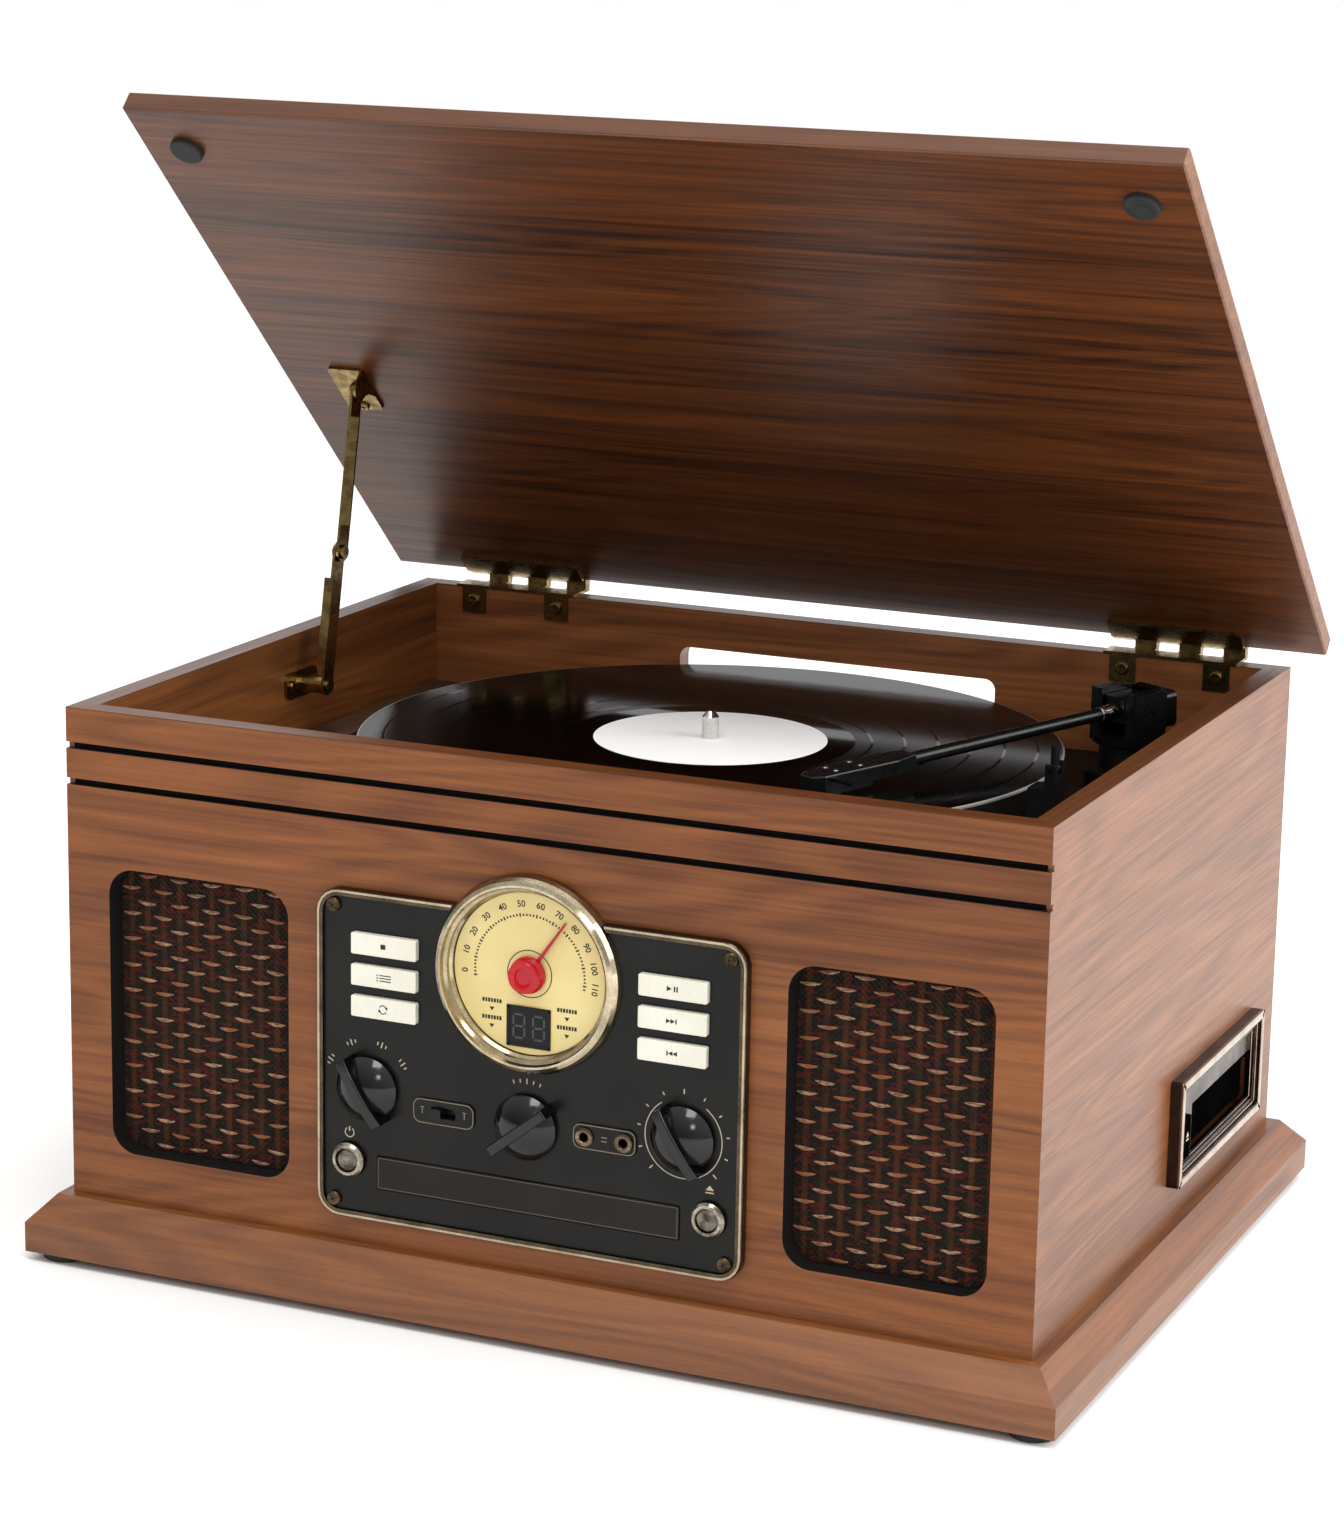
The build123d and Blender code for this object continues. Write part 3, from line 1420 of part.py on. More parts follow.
# Speakers
def grille(side):
    place = (side * speaker_spread, speaker_z)
    with BuildPart() as piece:
        size = (speaker_width - 2 * clear, speaker_height - 2 * clear)
        front = FRONT.offset(-cloth_recess)
        rounded_block(front, place, size, speaker_corner - clear, cloth_recess - wall)
        size = (speaker_width + 2 * grille_lap, speaker_height + 2 * grille_lap)
        rounded_block(FRONT.offset(-wall), place, size, 6, -grille_thick)
        back = FRONT.offset(-wall - grille_thick)
        depth = wall + grille_thick - cloth_recess - cloth_thick
        round_block(back, place, speaker_frame - cone_inset, depth, Mode.SUBTRACT)
    return piece.part


def speaker(side):
    centre = (side * speaker_spread, front_y, speaker_z)
    plane = Plane(origin=centre, x_dir=(1, 0, 0), z_dir=(0, 0, 1))
    axis = Axis(centre, (0, 1, 0))
    start = -wall - grille_thick
    with BuildPart() as piece:
        turned([
            (0, start - speaker_deep),
            (magnet_radius, start - speaker_deep),
            (magnet_radius, start - magnet_front),
            (basket_radius, start - basket_rear),
            (speaker_frame - rim_width, start - rim_thick),
            (speaker_frame, start - rim_thick),
            (speaker_frame, start),
            (speaker_frame - rim_width, start),
            (speaker_frame - roll_width, start - roll_deep),
            (cone_throat, start - cone_deep),
            (cap_radius, start - cap_rear),
            (0, start - cap_front),
        ], plane, axis)
    return piece.part


write_group([grille(side) for side in (-1, 1)], "speaker_grilles")
write_group([speaker(side) for side in (-1, 1)], "speaker_drivers")

# Tape slot
with BuildPart() as tape_bezel:
    place = (tape_mid, tape_z)
    rounded_block(RIGHT, place, (tape_length, tape_height), 1.5, tape_proud)
    chamfer(tape_bezel.faces().sort_by(Axis.X)[-1].edges(), 0.8)
    for inset, level in tape_steps:
        front = RIGHT.offset(tape_proud)
        size = (tape_length - 2 * inset, tape_height - 2 * inset)
        rounded_block(front, place, size, small_corner, -level, Mode.SUBTRACT)
    opening = (tape_opening_length, tape_opening_height)
    centre = (tape_opening_y, tape_opening_z)
    rounded_block(RIGHT, centre, opening, 1.0, tape_proud, Mode.SUBTRACT)
    size = (tape_button_size[0] + 2 * clear, tape_button_size[1] + 2 * clear)
    place = (tape_button_y, tape_opening_z)
    rounded_block(RIGHT, place, size, small_corner, tape_proud, Mode.SUBTRACT)
    for side in (-1, 1):
        ear_y = tape_opening_y + side * (tape_opening_length / 2 + clear + 1.5)
        plain_block(RIGHT, (ear_y, flap_z), flap_ear, -flap_ear_depth)
    length = tape_opening_length + 4 * flap_ear[0]
    pin_line = Plane(
        origin=(flap_x, tape_opening_y - length / 2, flap_z),
        x_dir=(1, 0, 0),
        z_dir=(0, 1, 0),
    )
    round_block(pin_line, (0, 0), flap_pin + running, length, Mode.SUBTRACT)
write(tape_bezel, "tape_bezel")

with BuildPart() as tape_flap:
    length = tape_opening_length - 2 * clear
    start = Plane(
        origin=(flap_x, tape_opening_y - length / 2, flap_z),
        x_dir=(1, 0, 0),
        z_dir=(0, 1, 0),
    )
    round_block(start, (0, 0), flap_hub, length)
    pin_start = start.offset(-flap_pin_reach)
    round_block(pin_start, (0, 0), flap_pin, length + 2 * flap_pin_reach)
    hang = flap_z - (tape_opening_z - tape_opening_height / 2) - clear
    face = Plane(origin=(flap_x - flap_thick / 2, 0, 0), x_dir=(0, 1, 0), z_dir=(1, 0, 0))
    plain_block(face, (tape_opening_y, flap_z - hang / 2), (length, hang), flap_thick)
write(tape_flap, "tape_flap")

with BuildPart() as tape_button:
    place = (tape_button_y, tape_opening_z)
    back = RIGHT.offset(-tape_button_stem)
    out = tape_button_stem + tape_button_proud
    rounded_block(back, place, tape_button_size, small_corner - clear, out)
    fillet(tape_button.faces().sort_by(Axis.X)[-1].edges(), push_edge)
write(tape_button, "tape_button")

with BuildPart() as tape_drive:
    left = inner_x - tape_drive_deep
    plane = Plane(origin=(left, 0, 0), x_dir=(0, 1, 0), z_dir=(1, 0, 0))
    size = (tape_opening_length + 14, tape_opening_height + 14)
    centre = (tape_opening_y, tape_opening_z)
    plain_block(plane, centre, size, tape_drive_deep)
    cavity = (tape_opening_length + 8, tape_opening_height + 5)
    cavity_start = plane.offset(tape_drive_wall)
    plain_block(cavity_start, centre, cavity, tape_drive_deep, Mode.SUBTRACT)
    low = tape_opening_z - size[1] / 2
    for x in (left + 2 * drive_post, inner_x - 2 * drive_post):
        for y in (tape_opening_y - tape_opening_length / 2, tape_opening_y + tape_opening_length / 2):
            round_block(Plane.XY.offset(body_low), (x, y), drive_post, low - body_low)
write(tape_drive, "tape_drive")

# Rear sockets
rear_place = (-rear_plate_x, body_low + rear_plate_up)
rca_places = [(rear_place[0] + dx, rear_place[1] + 4) for dx in (-22, -4)]
inlet_place = (rear_place[0] + 20, rear_place[1] + 4)
rear_face = REAR.offset(rear_plate_thick)
with BuildPart() as rear_jack_plate:
    size = (rear_plate_width, rear_plate_height)
    rounded_block(REAR, rear_place, size, 4, rear_plate_thick)
    size = (rear_plate_width - 14, rear_plate_height - 14)
    rounded_block(REAR, rear_place, size, 2, -rear_plate_lip)
    depth = rear_plate_thick + rear_plate_lip
    for place in rca_places:
        round_block(rear_face, place, rca_barrel + running, -depth, Mode.SUBTRACT)
    round_block(rear_face, inlet_place, inlet_radius + running, -depth, Mode.SUBTRACT)


def rca_socket(place):
    with BuildPart() as piece:
        round_block(rear_face, place, rca_base, rear_plate_thick)
        sleeve = rear_face.offset(rear_plate_thick)
        round_block(sleeve, place, rca_radius, rca_length)
        round_block(rear_face, place, rca_barrel, -rca_back)
        round_block(sleeve.offset(rca_length), place, rca_bore, -rca_length, Mode.SUBTRACT)
    return piece.part


def power_inlet(place):
    with BuildPart() as piece:
        face = REAR.offset(inlet_proud)
        round_block(face, place, inlet_radius, -inlet_proud - inlet_deep)
        round_block(rear_face, place, inlet_radius + 1.5, inlet_proud - rear_plate_thick)
        round_block(face, place, inlet_bore, -inlet_bore_depth, Mode.SUBTRACT)
        round_block(face.offset(-inlet_bore_depth), place, inlet_pin, inlet_bore_depth - 1)
    return piece.part


sockets = [rca_socket(place) for place in rca_places] + [power_inlet(inlet_place)]
write_group([rear_jack_plate.part] + sockets, "rear_sockets")

# Screws
cabinet_screws = []
for x, z in rear_screws:
    plane = Plane(origin=(x, inner_y - leaf_thick, z), x_dir=(1, 0, 0), z_dir=(0, -1, 0))
    cabinet_screws.append(screw(plane, leaf_screw_head, screw_head_height, screw_shank, screw_length))
for y, z in stay_screws:
    plane = Plane(origin=(bracket_thick - inner_x, y, z), x_dir=(0, 1, 0), z_dir=(1, 0, 0))
    cabinet_screws.append(screw(plane, bracket_screw_head, 1.4, screw_shank, screw_length))
for x, z in panel_screws:
    plane = Plane(origin=(x, panel_front, z), x_dir=(1, 0, 0), z_dir=(0, -1, 0))
    length = panel_thick + screw_length
    cabinet_screws.append(screw(plane, panel_screw_head, screw_head_height, screw_shank, length))
write_group(cabinet_screws, "cabinet_screws")
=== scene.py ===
"""A wooden music centre with its lid up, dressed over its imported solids.

Sizes are in millimetres until a piece is finished, apart from those of the finishes.
"""

import math

import bmesh
import bpy
from mathutils import Matrix, Vector


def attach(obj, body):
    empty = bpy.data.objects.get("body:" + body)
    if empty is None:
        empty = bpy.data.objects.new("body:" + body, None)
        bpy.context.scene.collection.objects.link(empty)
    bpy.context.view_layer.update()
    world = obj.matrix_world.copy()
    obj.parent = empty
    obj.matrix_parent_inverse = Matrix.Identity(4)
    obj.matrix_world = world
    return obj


MM = 0.001
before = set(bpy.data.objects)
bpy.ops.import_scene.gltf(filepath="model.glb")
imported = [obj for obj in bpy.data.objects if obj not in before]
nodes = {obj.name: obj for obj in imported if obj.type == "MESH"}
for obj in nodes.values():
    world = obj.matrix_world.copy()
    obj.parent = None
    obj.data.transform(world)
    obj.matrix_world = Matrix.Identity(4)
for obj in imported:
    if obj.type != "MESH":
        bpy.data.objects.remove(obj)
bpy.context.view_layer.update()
scene = bpy.context.scene

# Sizes that more than one section uses: half the case over its wood, the speakers and their cloth's weave
FRONT_WOOD, SIDE_WOOD = 160.5, 212.5
SPEAKER_X, SPEAKER_Z = 151, 110.2
THREAD_PITCH = 1.3
WARP_PITCH, ROW_PITCH = 7.58, 5.49
FLOAT_SHIFT, FLOAT_RISE = 0.9, 1.5

# Material tools


def linear(code):
    """An sRGB hex value as the linear colour that a socket takes."""
    parts = [int(code[i : i + 2], 16) / 255 for i in (1, 3, 5)]
    return [c / 12.92 if c <= 0.04045 else ((c + 0.055) / 1.055) ** 2.4 for c in parts] + [1.0]


def new_material(name, **sockets):
    """A material whose shader's sockets are set by name, with _ for a space."""
    made = bpy.data.materials.new(name)
    made.use_nodes = True
    shader = made.node_tree.nodes["Principled BSDF"]
    for socket, value in sockets.items():
        shader.inputs[socket.replace("_", " ")].default_value = value
    return made


def add(owner, kind, inputs=(), **settings):
    """Adds a node with its settings and returns its first output in use.

    The inputs are numbers, colours or other nodes' outputs. A list feeds the sockets in use in their order,
    and a dict feeds them by name.
    """
    tree = owner.node_tree
    made = tree.nodes.new("ShaderNode" + kind)
    for name, value in settings.items():
        setattr(made, name, value)
    if isinstance(inputs, dict):
        pairs = [(made.inputs[name], value) for name, value in inputs.items()]
    else:
        pairs = zip([socket for socket in made.inputs if socket.enabled], inputs)
    for socket, value in pairs:
        if isinstance(value, bpy.types.NodeSocket):
            tree.links.new(value, socket)
        else:
            socket.default_value = value
    return next(socket for socket in made.outputs if socket.enabled)


def feed(material, **sockets):
    """Links outputs into the material's shader by its sockets' names, with _ for a space."""
    shader = material.node_tree.nodes["Principled BSDF"]
    for name, source in sockets.items():
        material.node_tree.links.new(source, shader.inputs[name.replace("_", " ")])


def grain(material, where, per_metre, detail, rough, stretch=(1, 1, 1)):
    """A pattern with that many features to the metre, stretched or squeezed along each axis."""
    place = add(material, "Mapping", {"Vector": where, "Scale": [per_metre * s for s in stretch]})
    return add(material, "TexNoise", {"Vector": place, "Scale": 1.0, "Detail": detail, "Roughness": rough})


def relief(material, height, depth_mm, strength):
    """Gives the shader a surface that rises by depth_mm where height is 1."""
    bump = add(material, "Bump", {"Height": height, "Distance": depth_mm * MM, "Strength": strength})
    feed(material, Normal=bump)


# Finishes, placed in metres as the pieces' own coordinates are

# Past a mitred corner x leads y by this much
MITRE_LEAD = 0.0521
# Painted shade goes on the front wall's cut edges: the middle of their depth and the reach either way, then
# their top and side
CUT_MIDDLE, CUT_REACH = -0.1547, 0.00575
CUT_TOP, CUT_SIDE = 0.2365, 0.2122
# Painted shade on the walls' top faces: the direction that they face, and where they begin
SHADED_TOPS = ((0, 0, 1), 0.2366)


def walnut_foil(
    name, light, dark, mitred=False, painted_inside=None, edge=None, shine=0.5, bands=0.3, waves=0.26,
    shaded_end=SHADED_TOPS,
):
    """Walnut-print foil pressed on fibreboard and satin lacquered: long wavy figure in soft brown bands,
    fine dark pores along the grain, and a broad shine that pales the side seen on the slant."""
    made = new_material(name, Roughness=0.4, IOR=1.5, Specular_IOR_Level=shine)
    where = add(made, "TexCoord").node.outputs["Object"]
    x, y, z = add(made, "SeparateXYZ", [where]).node.outputs
    run = where
    if mitred:
        # The grain turns at the mitred corners
        off_x = add(made, "Math", [x], operation="ABSOLUTE")
        off_y = add(made, "Math", [y], operation="ABSOLUTE")
        lead = add(made, "Math", [off_x, off_y], operation="SUBTRACT")
        side = add(made, "Math", [lead, MITRE_LEAD], operation="GREATER_THAN")
        turned_grain = add(made, "CombineXYZ", [y, x, z])
        run = add(made, "Mix", [side, where, turned_grain], data_type="VECTOR")
    # Figure 560 mm long and 50 mm wide, cut by growth lines some 7 mm apart
    figure = grain(made, run, 1.0, 2.0, 0.45, (1.8, 20, 20))
    rings = add(made, "Math", [figure, 120.0], operation="MULTIPLY")
    lines = add(made, "Math", [rings], operation="SINE")
    # Streaks 450 mm by 5 mm, fibres 80 mm by 1.5 mm, and pores 10 mm by 0.6 mm
    streaks = grain(made, run, 1.0, 3.0, 0.55, (2.2, 190, 190))
    fibres = grain(made, run, 1.0, 3.0, 0.6, (12.5, 650, 650))
    pores = grain(made, run, 1.0, 1.0, 0.5, (100, 1700, 1700))
    lines_tone = add(made, "MapRange", [lines, -1, 1, 0.0, waves])
    fibres_tone = add(made, "MapRange", [fibres, 0.3, 0.7, 0.0, 0.6 - waves])
    streaks_tone = add(made, "MapRange", [streaks, 0.34, 0.66, 0.2 - bands / 2, 0.2 + bands / 2])
    figure_tone = add(made, "MapRange", [figure, 0.3, 0.7, -0.2, 0.2])
    pores_tone = add(made, "MapRange", [pores, 0.28, 0.4, 0.7, 1.0])
    tone = lines_tone
    for part in (fibres_tone, streaks_tone, figure_tone):
        tone = add(made, "Math", [tone, part], operation="ADD")
    tone = add(made, "Math", [tone, pores_tone], operation="MULTIPLY", use_clamp=True)
    colour = add(made, "Mix", [tone, linear(dark), linear(light)], data_type="RGBA")
    if painted_inside:
        # Painted light or shade: the inner face takes its own lighter or darker colours, from a depth along
        # a direction
        inner_light, inner_dark, inwards, depth = painted_inside
        reach = add(made, "VectorMath", [where, inwards], operation="DOT_PRODUCT")
        inner = add(made, "Math", [reach, depth], operation="GREATER_THAN")
        painted_inner = add(made, "Mix", [tone, linear(inner_dark), linear(inner_light)], data_type="RGBA")
        colour = add(made, "Mix", [inner, colour, painted_inner], data_type="RGBA")
    gloss = add(made, "MapRange", [fibres, 0.3, 0.7, 0.42, 0.32])
    if edge:
        # Painted shade: near black on the cut faces within the front wall's thickness, in the grooves and
        # round the openings
        cut = add(made, "Math", [y, CUT_MIDDLE, CUT_REACH], operation="COMPARE")
        below = add(made, "Math", [z, CUT_TOP], operation="LESS_THAN")
        off_middle = add(made, "Math", [x], operation="ABSOLUTE")
        between = add(made, "Math", [off_middle, CUT_SIDE], operation="LESS_THAN")
        in_outline = add(made, "Math", [below, between], operation="MULTIPLY")
        painted_shade = add(made, "Math", [cut, in_outline], operation="MULTIPLY")
        colour = add(made, "Mix", [painted_shade, colour, linear(edge)], data_type="RGBA")
        gloss = add(made, "Math", [gloss, painted_shade], operation="MAXIMUM")
    # Painted shade: a board's end face is darkened towards deep brown
    facing, start = shaded_end
    end = add(made, "VectorMath", [where, facing], operation="DOT_PRODUCT")
    at_end = add(made, "Math", [end, start], operation="GREATER_THAN")
    end_shade = add(made, "Math", [at_end, 0.6], operation="MULTIPLY")
    colour = add(made, "Mix", [end_shade, colour, linear("#3a1c0c")], data_type="RGBA")
    feed(made, Base_Color=colour, Roughness=gloss)
    relief(made, add(made, "Math", [fibres, pores], operation="MULTIPLY"), 0.12, 0.25)
    return made


def raw_board(name):
    """Bare fibreboard inside the case: even brown with short flattened chips 2.5 mm across."""
    made = new_material(name, Roughness=0.85, IOR=1.45)
    where = add(made, "TexCoord").node.outputs["Object"]
    chips = grain(made, where, 400, 4.0, 0.7)
    shade = add(made, "MapRange", [chips, 0.3, 0.7])
    feed(made, Base_Color=add(made, "Mix", [shade, linear("#4a3222"), linear("#6d4d35")], data_type="RGBA"))
    relief(made, chips, 0.2, 0.4)
    return made


def moulded_plastic(name, base, lift, rough, texture_mm=0.9, depth=0.05, coat=0.0, shine=0.5):
    """Moulded plastic: the spark-eroded tool leaves a fine grain that breaks the shine, and faint clouds
    33 mm across."""
    made = new_material(name, IOR=1.53, Coat_Weight=coat, Coat_Roughness=0.06, Specular_IOR_Level=shine)
    where = add(made, "TexCoord").node.outputs["Object"]
    cloud = grain(made, where, 30, 2.0, 0.5)
    bite = grain(made, where, 1000 / texture_mm, 2.0, 0.5)
    shade = add(made, "MapRange", [cloud, 0.35, 0.65])
    feed(made, Base_Color=add(made, "Mix", [shade, linear(base), linear(lift)], data_type="RGBA"))
    feed(made, Roughness=add(made, "MapRange", [bite, 0.3, 0.7, rough - 0.05, rough + 0.06]))
    relief(made, bite, depth, 0.3)
    return made


def plated_metal(name, base, dark, rough, scuff=0.08):
    """Plated or turned metal: a tint that deepens in scuffs 11 mm across, and a mottle 0.6 mm across that
    softens the shine."""
    made = new_material(name, Metallic=1.0)
    where = add(made, "TexCoord").node.outputs["Object"]
    marks = grain(made, where, 90, 3.0, 0.6)
    mottle = grain(made, where, 1600, 1.0, 0.5)
    marks_tint = add(made, "MapRange", [marks, 0.3, 0.7, 0.0, 0.6])
    mottle_tint = add(made, "MapRange", [mottle, 0.3, 0.7, 0.0, 0.4])
    tint = add(made, "Math", [marks_tint, mottle_tint], operation="ADD")
    feed(made, Base_Color=add(made, "Mix", [tint, linear(dark), linear(base)], data_type="RGBA"))
    feed(made, Roughness=add(made, "MapRange", [marks, 0.3, 0.7, rough + scuff, rough - scuff / 2]))
    relief(made, mottle, 0.02, 0.15)
    return made


def aged_metal(name, base, dark):
    """Antiqued brass, nickel or bronze: worn bright on top, brown in the hollows, with soft scratches 3 mm
    long and 0.7 mm wide."""
    made = new_material(name, Metallic=1.0)
    where = add(made, "TexCoord").node.outputs["Object"]
    tarnish = grain(made, where, 210, 3.0, 0.5)
    scratch = grain(made, where, 1.0, 2.0, 0.6, (300, 1400, 1400))
    faint = add(made, "Math", [scratch, 0.4], operation="MULTIPLY")
    rubbed = add(made, "Math", [tarnish, faint], operation="ADD")
    worn = add(made, "MapRange", [rubbed, 0.45, 0.95])
    feed(made, Base_Color=add(made, "Mix", [worn, linear(dark), linear(base)], data_type="RGBA"))
    feed(made, Roughness=add(made, "MapRange", [tarnish, 0.3, 0.7, 0.34, 0.2]))
    relief(made, scratch, 0.03, 0.2)
    return made


def printed_ink(name, colour, rough=0.5):
    """Screen-printed ink: flat and matt, a little thin every 0.4 mm where the mesh of the screen lifted."""
    made = new_material(name, IOR=1.48)
    where = add(made, "TexCoord").node.outputs["Object"]
    speck = grain(made, where, 2500, 2.0, 0.5)
    thin = [c * 0.82 for c in linear(colour)[:3]] + [1.0]
    cover = add(made, "MapRange", [speck, 0.25, 0.6])
    feed(made, Base_Color=add(made, "Mix", [cover, thin, linear(colour)], data_type="RGBA"))
    feed(made, Roughness=add(made, "MapRange", [speck, 0.3, 0.7, rough + 0.05, rough - 0.05]))
    return made


def pressed_vinyl(name):
    """A pressed PVC record with its paper label: ring after ring of groove draws the light out, smoother
    bands part the tracks, the rim is painted pale grey as a highlight, and the label is uncoated white
    paper."""
    label_radius, lead_out_radius, rim_radius = 0.05, 0.062, 0.15
    # Grooves are drawn 1.2 mm apart, as coarse as they need to be to show
    groove_pitch = 0.0012
    # Bands lie 14 mm apart, and a smooth gap takes a little under a tenth of each
    bands_per_metre, first_band, gap_share = 71.0, 0.002, 0.09
    # The pattern turns round the spindle
    to_spindle = (-0.001, -0.0105, 0)
    made = new_material(name, IOR=1.54, Anisotropic=0.6, Specular_IOR_Level=0.06)
    where = add(made, "TexCoord").node.outputs["Object"]
    centred = add(made, "Mapping", {"Vector": where, "Location": to_spindle})
    x, y, _ = add(made, "SeparateXYZ", [centred]).node.outputs
    flat = add(made, "CombineXYZ", [x, y])
    radius = add(made, "VectorMath", [flat], operation="LENGTH")
    paper = add(made, "Math", [radius, label_radius], operation="LESS_THAN")
    swing = add(made, "Math", [radius, 2 * math.pi / groove_pitch], operation="MULTIPLY")
    groove = add(made, "Math", [swing], operation="SINE")
    from_start = add(made, "Math", [radius, first_band], operation="ADD")
    bands = add(made, "Math", [from_start, bands_per_metre], operation="MULTIPLY")
    along_band = add(made, "Math", [bands], operation="FRACT")
    gap = add(made, "Math", [along_band, gap_share], operation="LESS_THAN")
    lead_out = add(made, "Math", [radius, lead_out_radius], operation="LESS_THAN")
    plain = add(made, "Math", [gap, lead_out], operation="MAXIMUM")
    fleck = grain(made, where, 900, 2.0, 0.5)
    flecked = add(made, "MapRange", [fleck, 0.3, 0.7])
    black = add(made, "Mix", [flecked, linear("#010101"), linear("#040303")], data_type="RGBA")
    # Painted highlight: pale grey past this radius stands for light caught on the rim
    rim_highlight = add(made, "Math", [radius, rim_radius], operation="GREATER_THAN")
    black = add(made, "Mix", [rim_highlight, black, linear("#8c8a86")], data_type="RGBA")
    white = add(made, "Mix", [flecked, linear("#fafaf8"), linear("#ffffff")], data_type="RGBA")
    feed(made, Base_Color=add(made, "Mix", [paper, black, white], data_type="RGBA"))
    gloss = add(made, "MapRange", [plain, 0, 1, 0.1, 0.04])
    dull = add(made, "Math", [paper, 0.75], operation="MULTIPLY")
    feed(made, Roughness=add(made, "Math", [gloss, dull], operation="MAXIMUM"))
    smooth = add(made, "Math", [plain, paper], operation="MAXIMUM")
    grooved = add(made, "Math", [1.0, smooth], operation="SUBTRACT")
    relief(made, add(made, "Math", [groove, grooved], operation="MULTIPLY"), 0.02, 0.12)
    feed(made, Tangent=add(made, "Tangent", direction_type="RADIAL", axis="Z"))
    return made


def speaker_cloth(name, shade, lit, warp):
    """Woven speaker cloth: dark synthetic threads, over and under, with a rust warp thread behind each
    column of floats, and stray threads of red and green."""
    made = new_material(
        name, Roughness=0.9, IOR=1.45, Specular_IOR_Level=0.2, Sheen_Weight=0.05, Sheen_Roughness=0.5
    )
    where = add(made, "TexCoord").node.outputs["Object"]
    x, _, z = add(made, "SeparateXYZ", [where]).node.outputs
    crossing = []
    for along in (x, z):
        swing = add(made, "Math", [along, math.pi / (THREAD_PITCH * MM)], operation="MULTIPLY")
        crossing.append(add(made, "Math", [swing], operation="SINE"))
    over_under = add(made, "Math", crossing, operation="MULTIPLY")
    over = add(made, "MapRange", [over_under, -1, 1])
    # Warp threads are counted from the middle column of floats on each speaker
    right_half = add(made, "Math", [x, 0.0], operation="GREATER_THAN")
    from_left = add(made, "Math", [x, (SPEAKER_X - FLOAT_SHIFT) * MM], operation="ADD")
    to_right = add(made, "Math", [right_half, 2 * SPEAKER_X * MM], operation="MULTIPLY")
    across = add(made, "Math", [from_left, to_right], operation="SUBTRACT")
    warp_swing = add(made, "Math", [across, 2 * math.pi / (WARP_PITCH * MM)], operation="MULTIPLY")
    post = add(made, "Math", [warp_swing], operation="COSINE")
    # Stray threads 5.5 by 2 mm, fuzz 0.7 mm across, and worn stretches 4 mm wide and 11 mm high
    fleck = grain(made, where, 1.0, 1.0, 0.5, (180, 180, 520))
    fuzz = grain(made, where, 1500, 3.0, 0.6)
    rubbed = grain(made, where, 1.0, 2.0, 0.6, (260, 260, 90))
    worn = add(made, "MapRange", [rubbed, 0.35, 0.65, 0.25, 0.95])
    body = add(made, "Mix", [over, linear(shade), linear(lit)], data_type="RGBA")
    post_shows = add(made, "MapRange", [post, 0.25, 0.8])
    warp_shows = add(made, "Math", [post_shows, worn], operation="MULTIPLY")
    body = add(made, "Mix", [warp_shows, body, linear(warp)], data_type="RGBA")
    for low, high, share, thread in ((0.52, 0.62, 0.6, "#4a1810"), (0.46, 0.36, 0.45, "#1c2112")):
        stray = add(made, "MapRange", [fleck, low, high])
        shows = add(made, "Math", [stray, share], operation="MULTIPLY")
        body = add(made, "Mix", [shows, body, linear(thread)], data_type="RGBA")
    feed(made, Base_Color=body)
    fluff = add(made, "Math", [fuzz, 0.4], operation="MULTIPLY")
    relief(made, add(made, "Math", [over, fluff], operation="ADD"), 0.5, 0.8)
    return made


def twisted_yarn(name, shade, lit, rust):
    """Thick twisted yarn of the raised floats: fine dull strands, warmer in one float than in another."""
    made = new_material(
        name, Roughness=0.8, IOR=1.45, Specular_IOR_Level=0.3, Sheen_Weight=0.1, Sheen_Roughness=0.5
    )
    where = add(made, "TexCoord").node.outputs["Object"]
    # Strands 2.2 mm long and 0.6 mm high, and batches of warmer yarn about as large as a float
    strands = grain(made, where, 1.0, 2.0, 0.6, (450, 450, 1700))
    batch = grain(made, where, 1.0, 1.0, 0.5, (95, 95, 130))
    strand_shade = add(made, "MapRange", [strands, 0.35, 0.65])
    batch_shade = add(made, "MapRange", [batch, 0.4, 0.62])
    body = add(made, "Mix", [strand_shade, linear(shade), linear(lit)], data_type="RGBA")
    feed(made, Base_Color=add(made, "Mix", [batch_shade, body, linear(rust)], data_type="RGBA"))
    relief(made, strands, 0.3, 0.7)
    return made


def black_rubber(name):
    """Moulded rubber: matt black, dusty where it rubs."""
    made = new_material(name, IOR=1.52)
    where = add(made, "TexCoord").node.outputs["Object"]
    dust = grain(made, where, 500, 4.0, 0.6)
    dusty = add(made, "MapRange", [dust, 0.4, 0.75])
    feed(made, Base_Color=add(made, "Mix", [dusty, linear("#121212"), linear("#2a2826")], data_type="RGBA"))
    feed(made, Roughness=add(made, "MapRange", [dust, 0.3, 0.7, 0.6, 0.85]))
    relief(made, dust, 0.05, 0.3)
    return made


# Walnut foil, with painted light or shade on an inner face: a light and a dark colour, the direction
# inwards, and where it begins
LID_INWARDS, LID_OUTWARDS = (0, -0.682, -0.7314), Vector((0, -0.7314, 0.682))
# Painted shade: the lid's inner face is darker than its outside
LID_PAINTED_SHADE = ("#733f1c", "#2a1207", LID_INWARDS, -0.2881)
# Painted shade darkens the lid's end face from here
LID_END = max(point.co.dot(LID_OUTWARDS) for point in nodes["lid"].data.vertices) - 0.0004
